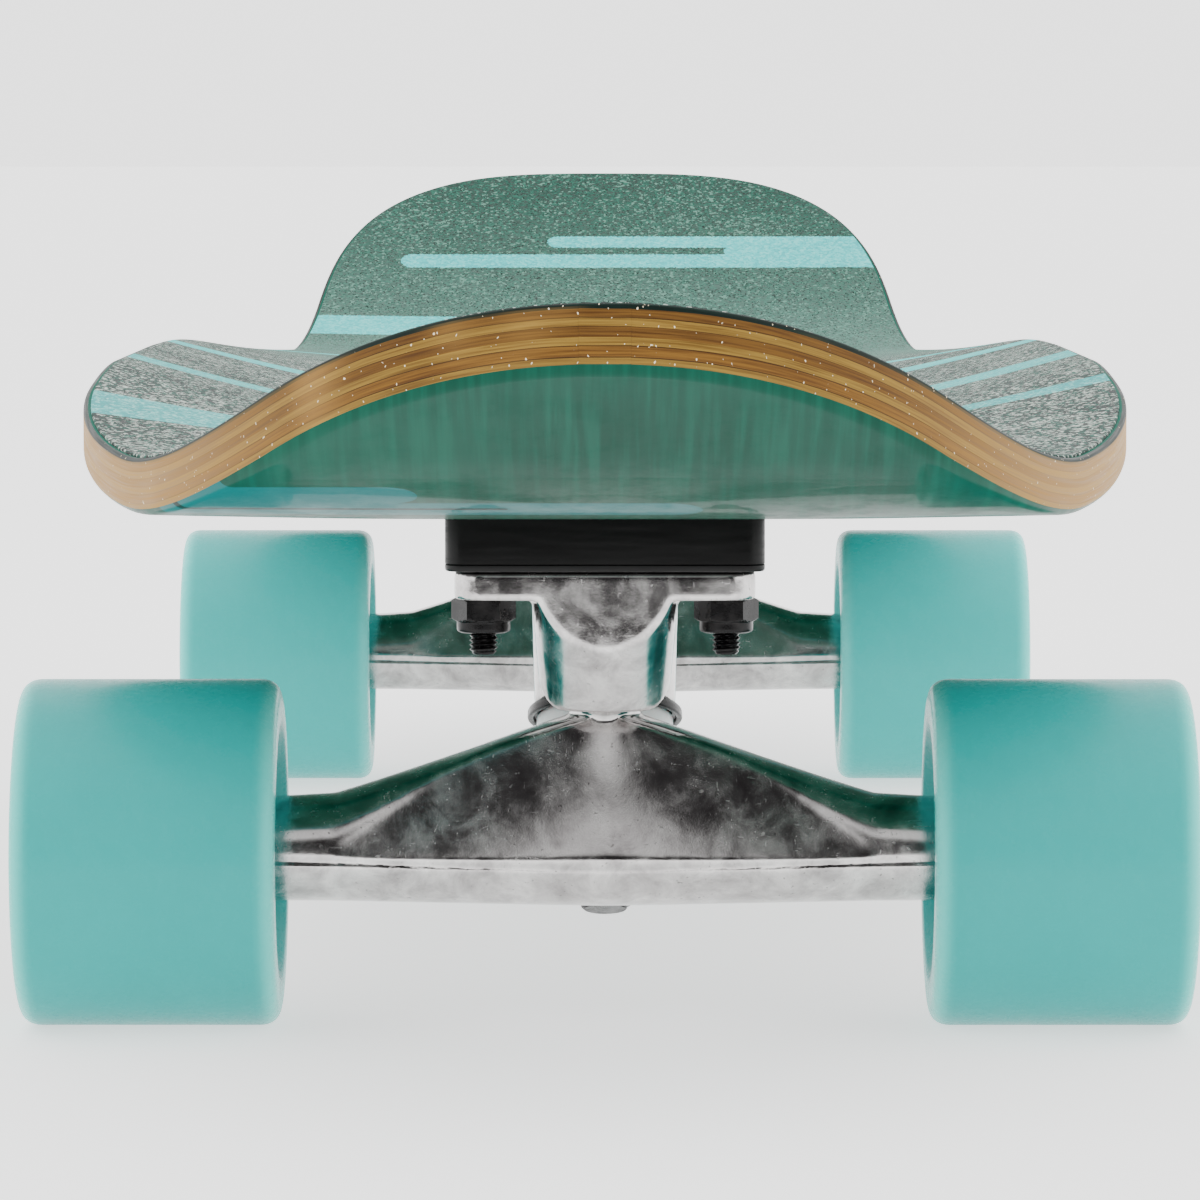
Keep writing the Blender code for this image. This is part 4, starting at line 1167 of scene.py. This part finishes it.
def pivot_boss_helper(count=72, levels=24):
    """The pivot boss: level round sections that lean outwards as they rise to the plate."""
    angles = [TURN * step / count for step in range(count)]
    rings = []
    for height in np.linspace(BOSS_LOW_Z, PLATE_TOP_Z + 2, levels):
        rise = height - SHIELD_LOW_Z
        share = (height - BOSS_LOW_Z) / (PLATE_TOP_Z - BOSS_LOW_Z)
        radius = BOSS_RADIUS + (BOSS_TOP_RADIUS - BOSS_RADIUS) * share
        middle_y = SHIELD_Y + BOSS_RADIUS + BOSS_SETBACK - BOSS_LEAN * rise
        rings += [(radius * math.cos(a), middle_y + radius * math.sin(a), height) for a in angles]
    boss = helper(make_mesh("pivot_boss", np.array(rings), capped_faces(levels, count)))
    wide = 60
    past_mouth = rod(wide, 0, BOSS_MOUTH, STEERING)
    return helper(after_booleans(boss, [], [past_mouth]))


def cast_baseplate():
    """The baseplate in the truck's frame."""
    plate_low = PLATE_TOP_Z - PLATE_THICKNESS
    sides = (PLATE_WIDTH / 2, PLATE_LENGTH / 2, PLATE_CORNER)
    levels = [(0, plate_low), (0, PLATE_TOP_Z)]
    base = helper(block_mesh("plate", *sides, levels, PLATE_MIDDLE_Y, Matrix.Identity(4)))
    low_radius, top_radius = KINGPIN_BOSS_RADII
    kingpin_boss = rod(low_radius, PLATE_SEAT, KINGPIN_BOSS_TOP, KINGPIN, top_radius)
    rib_low, rib_high = plate_low - RIB_DEPTH, plate_low + 1
    rib = box_helper((-RIB_HALF, RIB_Y[0], rib_low), (RIB_HALF, RIB_Y[1], rib_high))
    joined = [pivot_boss_helper(), kingpin_boss, rib]
    outer_y = PLATE_MIDDLE_Y - PLATE_LENGTH / 2
    inner_y = PLATE_MIDDLE_Y + PLATE_LENGTH / 2
    far = 100
    cut = [
        box_helper((-far, -far, PLATE_TOP_Z), (far, far, PLATE_TOP_Z + far)),
        box_helper((-far, outer_y - far, -far), (far, outer_y, 2 * far)),
        box_helper((-far, inner_y, -far), (far, inner_y + far, 2 * far)),
        rod(CUP_RADIUS, BOSS_MOUTH - 10, CUP[1] + 0.3, STEERING),
        rod(KINGPIN_HOLE, 0, KINGPIN_HEAD[0], KINGPIN),
        rod(KINGPIN_HEAD_HOLE, KINGPIN_HEAD[0] - 0.3, 60, KINGPIN),
    ]
    for _, _, place in bolt_places():
        cut.append(rod(BOLT_HOLE, plate_low - 5, PLATE_TOP_Z + 5, place))
    return cast(base, joined, cut, softening=9)


def wing_section(x, count=64):
    """The hanger's outline at x: a round lower bar and a narrower rounded ridge above it."""
    off_middle = math.hypot(x, PEAK_ROUND) - PEAK_ROUND
    inward = max(1 - off_middle / SHOULDER_X, 0.0)
    top = TUBE_BOTTOM + 2 * TUBE_RADIUS
    top += (HANGER_PEAK - top) * inward**RIDGE_POWER
    bottom = TUBE_BOTTOM - BELLY * inward
    bar = TUBE_RADIUS + BELLY * inward
    narrowing = smoothstep(inward, 0, RIDGE_NARROWS)
    ridge = TUBE_RADIUS + (RIDGE_RADIUS - TUBE_RADIUS) * narrowing
    crown = TUBE_RADIUS + (RIDGE_CROWN - TUBE_RADIUS) * narrowing
    round_sweep = FRONT_SWEEP * max(1 - (x / SHOULDER_X) ** 2, 0.0)
    sharp_sweep = FRONT_SWEEP * inward**SHARPNESS
    outline = []
    for i in range(count):
        angle = TURN * (i + 0.5) / count
        upper = math.sin(angle) > 0
        radius = ridge if upper else bar
        height = crown if upper else bar
        middle = top - crown if upper else bottom + bar
        swept = sharp_sweep if upper else round_sweep
        across = radius * math.cos(angle) + swept * min(math.cos(angle), 0.0)
        outline.append((x, across, middle + height * math.sin(angle)))
    return outline


def wings_helper():
    places = np.concatenate([np.linspace(0, SHOULDER_X, WING_STATIONS), [HANGER_HALF]])
    places = np.concatenate([-places[:0:-1], places])
    rings = np.array([wing_section(x) for x in places])
    faces = capped_faces(*rings.shape[:2])
    return helper(make_mesh("wings", rings.reshape(-1, 3), faces))


def cut_parting_line(mesh):
    """A ground parting line along both sides of the wings, with the metal above it set back."""
    points = mesh_points(mesh)
    share = np.clip(np.abs(points[:, 0]) / HANGER_HALF, 0, 1)
    crease = CREASE_MIDDLE_Z + (CREASE_END_Z - CREASE_MIDDLE_Z) * share
    over = points[:, 2] - crease
    set_back = STEP_DEPTH * smoothstep(over, -0.2, 0.5) * (1 - smoothstep(over, *STEP_FADES))
    groove = GROOVE_DEPTH * np.exp(-((over / GROOVE_HALF) ** 2))
    side = np.abs(points[:, 1])
    on_side = smoothstep(side, 5, 7) * (1 - smoothstep(side, 13.5, 15))
    points[:, 1] -= np.sign(points[:, 1]) * (set_back + groove) * on_side
    mesh.vertices.foreach_set("co", (points * MM).ravel())


def axle_place(side):
    """The placing along the axle, in a truck's frame, towards -1 or 1."""
    return axis_matrix(Vector((0, 0, AXLE_Z)), Vector((side, 0, 0)))


def cast_hanger():
    """The hanger in the truck's frame."""
    stem_outline = [
        (0, STEM_LOW),
        (STEM_RADIUS, STEM_LOW),
        (WEB_RADIUS, WEB_ALONG),
        (NECK_RADIUS, NECK_ALONG[0]),
        (NECK_RADIUS, NECK_ALONG[1]),
        (PIVOT_RADIUS, BOSS_MOUTH - 0.2),
        (PIVOT_RADIUS, PIVOT_TIP - 2.5),
        (PIVOT_RADIUS * 0.6, PIVOT_TIP),
        (0, PIVOT_TIP),
    ]
    stem = helper(turned_mesh("stem", stem_outline, STEERING, closed=False))
    ring = rod(RING_RADIUS, -RING_HALF, RING_HALF, KINGPIN)
    face = RING_HALF + 0.05
    past_end = 80
    cut = [
        rod(UPPER_BUSHING_ROOM, face, 30, KINGPIN),
        rod(LOWER_BUSHING_ROOM, -34, -face, KINGPIN),
        rod(RING_BORE, -12, 12, KINGPIN),
        rod(AXLE_RADIUS + 0.1, -past_end, past_end, axle_place(1)),
    ]
    mesh = cast(wings_helper(), [stem, ring], cut, softening=10)
    cut_parting_line(mesh)
    return mesh


def place_casting(name, source, truck, body, node):
    mesh = source.copy()
    mesh.name = name
    mesh.transform(Matrix.Translation(truck.translation * MM) @ truck.to_3x3().to_4x4())
    make_piece(name, mesh, ["casting"], body, [node], sharp=60)


# ---------------------------------------------------------------- kingpin stack


def build_kingpin(end, place):
    head_low, head_high = KINGPIN_HEAD
    head = 8
    corners = [
        (0, head_high, 0),
        (head - 0.8, head_high, 0.2),
        (head, head_high - 0.6, 0),
        (head, head_low, 0.2),
        (KINGPIN_RADIUS, head_low, 0.4),
        (KINGPIN_RADIUS, KINGPIN_END + 0.9, 0),
        (KINGPIN_RADIUS * 0.78, KINGPIN_END, 0.15),
        (0, KINGPIN_END, 0),
    ]
    thread_top = LOWER_WASHER[0]
    shank = threaded_outline(
        corners, lambda height: KINGPIN_END <= height <= thread_top, KINGPIN_PITCH / 9
    )
    cut = thread(KINGPIN_PITCH, 0.6, KINGPIN_RADIUS, KINGPIN_END, thread_top)
    turning = {"closed": False, "columns": 64, "shape": cut}
    name = f"{end}_kingpin_bolt"
    turned_piece(name, shank, place, "black", "board", f"{end}_kingpin", "black_steel", **turning)
    nut = nyloc_outline(*KINGPIN_NUT, *KINGPIN_NUT_SIZES)
    name = f"{end}_kingpin_hex_nut"
    nut_piece(name, nut, KINGPIN_NUT_SIZES[0], place, "board", f"{end}_kingpin_nut")


def washer_outline(radius, back, face, rim, shoulder):
    """A cupped washer: a flat disc with a rim turned towards its bushing, which its face meets."""
    inside = radius - 1.1
    soft = 0.45
    return [
        (BUSHING_BORE, back, 0.1),
        (radius, back, shoulder),
        (radius, rim, soft),
        (inside, rim, soft),
        (inside, face, 0.5),
        (BUSHING_BORE, face, 0.1),
    ]


def build_washers(end, place):
    face, back = UPPER_WASHER
    upper = washer_outline(WASHER_RADIUS, back, face, face - 0.9, 1.3)
    back, face = LOWER_WASHER
    lower = washer_outline(LOWER_WASHER_RADIUS, back, face, face + 1.5, 1.0)
    for label, outline in (("boardside", upper), ("roadside", lower)):
        name = f"{end}_{label}_cup_washer"
        node = f"{end}_{label}_washer"
        turned_piece(name, rounded(outline), place, "black", "board", node, "black_steel")


def bushing_outline(low, high, low_radius, high_radius, bulge):
    """A bushing with rounded ends and a slight barrel."""
    corners = [
        (BUSHING_BORE, low, 0.3),
        (low_radius, low, 0.8),
        ((low_radius + high_radius) / 2 + bulge, (low + high) / 2, 6),
        (high_radius, high, 0.8),
        (BUSHING_BORE, high, 0.3),
    ]
    return finely(rounded(corners, steps=6), 0.8, closed=True)


def build_bushings(end, place):
    """Soft bushings, which ride on no body. Where they would stay still, at the washer, and move, at
    the ring, is worked out, but nothing makes them bend.
    """
    upper = bushing_outline(*UPPER_BUSHING, *UPPER_BUSHING_RADII, 0.1)
    lower = bushing_outline(*LOWER_BUSHING, *LOWER_BUSHING_RADII, 0.2)
    bends = (
        ("boardside", upper, UPPER_BUSHING[1], UPPER_BUSHING[0]),
        ("roadside", lower, LOWER_BUSHING[0], LOWER_BUSHING[1]),
    )
    for label, outline, still, moving in bends:
        name = f"{end}_{label}_urethane_bushing"
        node = f"{end}_{label}_bushing"
        start, stop = (place @ Vector((0, 0, along)) * MM for along in (still, moving))
        blend = ("board", f"{end}_hanger_body", start, stop)
        plain = [("rim", np.zeros(len(outline)))]
        turned_piece(
            name, outline, place, "bushing", None, node, "white_urethane", blend=blend, attributes=plain
        )


def build_pivot_cup(end, place):
    low, high = CUP
    bore = 6.5
    floor = PIVOT_TIP + 0.3
    corners = [
        (0, high, 0),
        (CUP_RADIUS, high, 0.5),
        (CUP_RADIUS, low, 0.4),
        (bore, low, 0.4),
        (bore, floor, 0.5),
        (0, floor, 0),
    ]
    name = f"{end}_pivot_cup_insert"
    outline = rounded(corners, closed=False)
    node = f"{end}_pivot_cup"
    turned_piece(name, outline, place, "cup", "board", node, "cup_plastic", closed=False)


# ---------------------------------------------------------------- axle and wheels


def wheel_corners():
    """The wheel's outline: from the hub over the inner lip and the tread to the outer lip and back."""
    core = 9
    seat = 11.2
    lip = 22.4
    low, high = INNER_BEARING
    to_lip = [
        (core, high + 0.1, 0.2),
        (seat, high + 0.1, 0.2),
        (seat, low - 0.1, 0.3),
        (12.6, low - 0.9, 0.4),
        (14.5, low - 1.4, 2),
        (17.5, WHEEL_LOW + 4.5, 4),
        (lip, WHEEL_LOW, 1.2),
    ]
    tread = [(WHEEL_RADIUS, WHEEL_LOW, 4.0), (WHEEL_RADIUS, WHEEL_HIGH, 5.0)]
    return to_lip + tread + mirrored(to_lip, WHEEL_MIDDLE)


def build_wheel(end, word, place):
    outline = finely(rounded(wheel_corners(), steps=8), 2.5, closed=True)
    radius, along = np.array(outline).T
    # rim: where the colour turns paler near both lips, partly wear and partly painted light shining
    # through the thin urethane.
    to_side = np.minimum(along - WHEEL_LOW, WHEEL_HIGH - along)
    rim = (1 - smoothstep(to_side, 0.2, 3.6)) * smoothstep(radius, 22, 26)
    name = f"{end}_urethane_wheel_{word}"
    node = f"{end}_wheel_{word}"
    # The rear wheels take the copy of the urethane that is painted paler, as painted light from behind.
    look = f"{end}_wheel"
    turning = {"columns": 160, "attributes": [("rim", rim)]}
    slot = "turquoise_urethane"
    turned_piece(name, outline, place, look, f"{node}_body", node, slot, sharp=50, **turning)


def bearing_outline(low, high):
    """The outer race with both shields set into it."""
    inside = 9.3
    recess = 0.35
    half = [
        (BEARING_RADIUS, high, 0.4),
        (inside, high, 0.15),
        (inside - 0.1, high - 2 * recess, 0.05),
        (inside - 0.4, high - recess, 0.1),
        (SHIELD_BORE, high - recess, 0.15),
    ]
    return half + mirrored(half, (low + high) / 2)


def race_stack_outline():
    """Speed ring, inner race, spacer, inner race and speed ring."""
    bore = AXLE_RADIUS + 0.1
    spacer = 5.5
    race = 6.5
    soft = 0.25
    half = [
        (bore, STACK[0], 0.1),
        (spacer, STACK[0], soft),
        (spacer, INNER_BEARING[0], 0.05),
        (race, INNER_BEARING[0], soft),
        (race, INNER_BEARING[1], soft),
        (spacer, INNER_BEARING[1], 0.05),
    ]
    return half + mirrored(half, WHEEL_MIDDLE)


def build_bearings(end, word, place):
    wheel = f"{end}_wheel_{word}_body"
    for label, heights in (("inner", INNER_BEARING), ("outer", OUTER_BEARING)):
        name = f"{end}_{label}_shielded_bearing_{word}"
        outline = rounded(bearing_outline(*heights), steps=3)
        node = f"{end}_{label}_bearing_{word}"
        turned_piece(name, outline, place, "race", wheel, node, "bearing_steel")
    name = f"{end}_races_and_spacer_{word}"
    outline = rounded(race_stack_outline(), steps=3)
    hanger = f"{end}_hanger_body"
    node = f"{end}_race_stack_{word}"
    turned_piece(name, outline, place, "steel", hanger, node, "bearing_steel")


def build_axle(end, truck):
    """The axle with its nuts, wheels and bearings."""
    thread_start = STACK[1]
    half = [
        (AXLE_RADIUS, thread_start, 0),
        (AXLE_RADIUS, AXLE_HALF - 0.8, 0),
        (AXLE_RADIUS * 0.8, AXLE_HALF, 0.15),
        (0, AXLE_HALF, 0),
    ]
    outline = threaded_outline(
        mirrored(half) + half, lambda height: abs(height) > thread_start, KINGPIN_PITCH / 9
    )
    one_end = thread(KINGPIN_PITCH, 0.55, AXLE_RADIUS, thread_start, AXLE_HALF)

    def both_ends(radius, angle, height):
        return one_end(radius, angle * np.sign(height), np.abs(height))

    place = truck @ axle_place(1)
    name = f"{end}_axle_rod"
    body = f"{end}_hanger_body"
    turning = {"closed": False, "columns": 64, "shape": both_ends}
    turned_piece(
        name, outline, place, "steel", body, f"{end}_axle", "plain_steel", **turning
    )

    low, high = AXLE_NUT
    # The collar of a lock nut faces outwards, so the outline is drawn upside down and turned over.
    nut = nyloc_outline(-high, -low, *AXLE_NUT_SIZES)
    nut = [point * (1, -1) for point in nut]
    for side in (-1, 1):
        word = side_word(side, end)
        outward = truck @ axle_place(side)
        name = f"{end}_axle_nyloc_{word}"
        node = f"{end}_axle_nut_{word}"
        nut_piece(name, nut, AXLE_NUT_SIZES[0], outward, body, node)
        build_wheel(end, word, outward)
        build_bearings(end, word, outward)


# ---------------------------------------------------------------- studio


def staged_sheet(name, corners, material):
    """A flat sheet of the studio, which isn't part of the board."""
    mesh = bpy.data.meshes.new(name)
    mesh.from_pydata(corners, [], [list(range(len(corners)))])
    mesh.materials.append(material)
    sheet = helper(mesh)
    return sheet


def build_floor():
    """A plain pale floor, wide enough to reach the horizon. It glows a little, as a light table
    does, which keeps the shadows faint and lights the undersides."""
    look = Look("studio_floor")
    tone = look.noise(400, detail=2)
    material = look.finish(
        base_color=look.mix(tone, (0.54, 0.54, 0.54, 1), (0.56, 0.56, 0.56, 1)),
        roughness=0.75,
        specular_ior_level=0.1,
        emission_color=(1, 1, 1, 1),
        emission_strength=FLOOR_GLOW,
    )
    angles = [TURN * step / 96 for step in range(96)]
    rim = [(FLOOR_RADIUS * math.cos(a), FLOOR_RADIUS * math.sin(a), FLOOR_Z) for a in angles]
    staged_sheet("studio_floor", rim, material)


def build_flags():
    """Dark sheets off the nose, which only the reflections see: they put contrast into the polished
    metal. The upright one glows softly along its middle."""
    look = Look("dark_cloth")
    x, _, z = look.split()
    middle = look.ranged(look.maths("ABSOLUTE", x), *GLOW_FADES_X, 1.0, 0.0)
    glow = look.maths("MULTIPLY", middle, look.ranged(z, *GLOW_GROWS_Z))
    weave = look.noise(3, detail=2)
    material = look.finish(
        base_color=look.mix(weave, (0.010, 0.010, 0.011, 1), (0.016, 0.015, 0.015, 1)),
        roughness=0.95,
        specular_ior_level=0.1,
        emission_color=look.joined(glow, glow, glow),
        emission_strength=GLOW_STRENGTH,
    )
    near, far = FLAG_Y
    side = FLAG_HALF_WIDTH
    low = FLOOR_Z + 1 * MM
    foot = [(-side, -far, low), (side, -far, low)]
    edges = {
        "flat_flag": [(side, -near, low), (-side, -near, low)],
        "upright_flag": [(side, -far, FLAG_TOP), (-side, -far, FLAG_TOP)],
    }
    for name, edge in edges.items():
        flag = staged_sheet(name, foot + edge, material)
        flag.visible_camera = False
        flag.visible_diffuse = False
        flag.visible_shadow = False


def build_world():
    """A plain white room."""
    world = bpy.data.worlds.new("studio")
    world.use_nodes = True
    bpy.context.scene.world = world
    tools = Look.__new__(Look)
    tools.tree = world.node_tree
    direction = tools.add("TexCoord").outputs["Generated"]
    height = tools.split(direction)[2]
    bright = tools.ranged(height, 0.0, 0.3, 0.95, 1.0)
    background = world.node_tree.nodes["Background"]
    tools.feed(background.inputs["Color"], tools.joined(bright, bright, bright))
    background.inputs["Strength"].default_value = WORLD_STRENGTH


def build_light(name, place, target, size, power):
    lamp = bpy.data.lights.new(name, "AREA")
    lamp.shape = "RECTANGLE"
    lamp.size, lamp.size_y = size
    lamp.energy = power
    obj = add_object(name, lamp)
    obj.location = place
    direction = Vector(target) - Vector(place)
    obj.rotation_euler = direction.to_track_quat("-Z", "Y").to_euler()


def build_camera():
    """End on, from the nose, a little above the deck."""
    camera = bpy.data.cameras.new("camera")
    camera.sensor_width = 36
    camera.lens = CAMERA_LENS
    camera.clip_start = 0.05
    camera.clip_end = 200
    obj = add_object("camera", camera)
    obj.location = CAMERA_PLACE
    obj.rotation_euler = (math.radians(90 - CAMERA_DIP), 0, math.radians(CAMERA_TURN))
    bpy.context.scene.camera = obj


# ---------------------------------------------------------------- assembly


def build_trucks():
    castings = {"baseplate": cast_baseplate(), "hanger": cast_hanger()}
    for end, truck in TRUCKS.items():
        kingpin_place = truck @ KINGPIN
        build_riser(end, truck)
        build_hardware(end, truck)
        for part, body in (("baseplate", "board"), ("hanger", f"{end}_hanger_body")):
            name = f"{end}_{part}_casting"
            place_casting(name, castings[part], truck, body, f"{end}_{part}")
        build_kingpin(end, kingpin_place)
        build_washers(end, kingpin_place)
        build_bushings(end, kingpin_place)
        build_pivot_cup(end, truck @ STEERING)
        build_axle(end, truck)


build_deck()
build_grip()
build_trucks()
build_floor()
build_flags()
build_world()
build_light("overhead", (0, 0.1, 1.6), (0, 0, 0), (1.6, 2.2), 12)
build_camera()
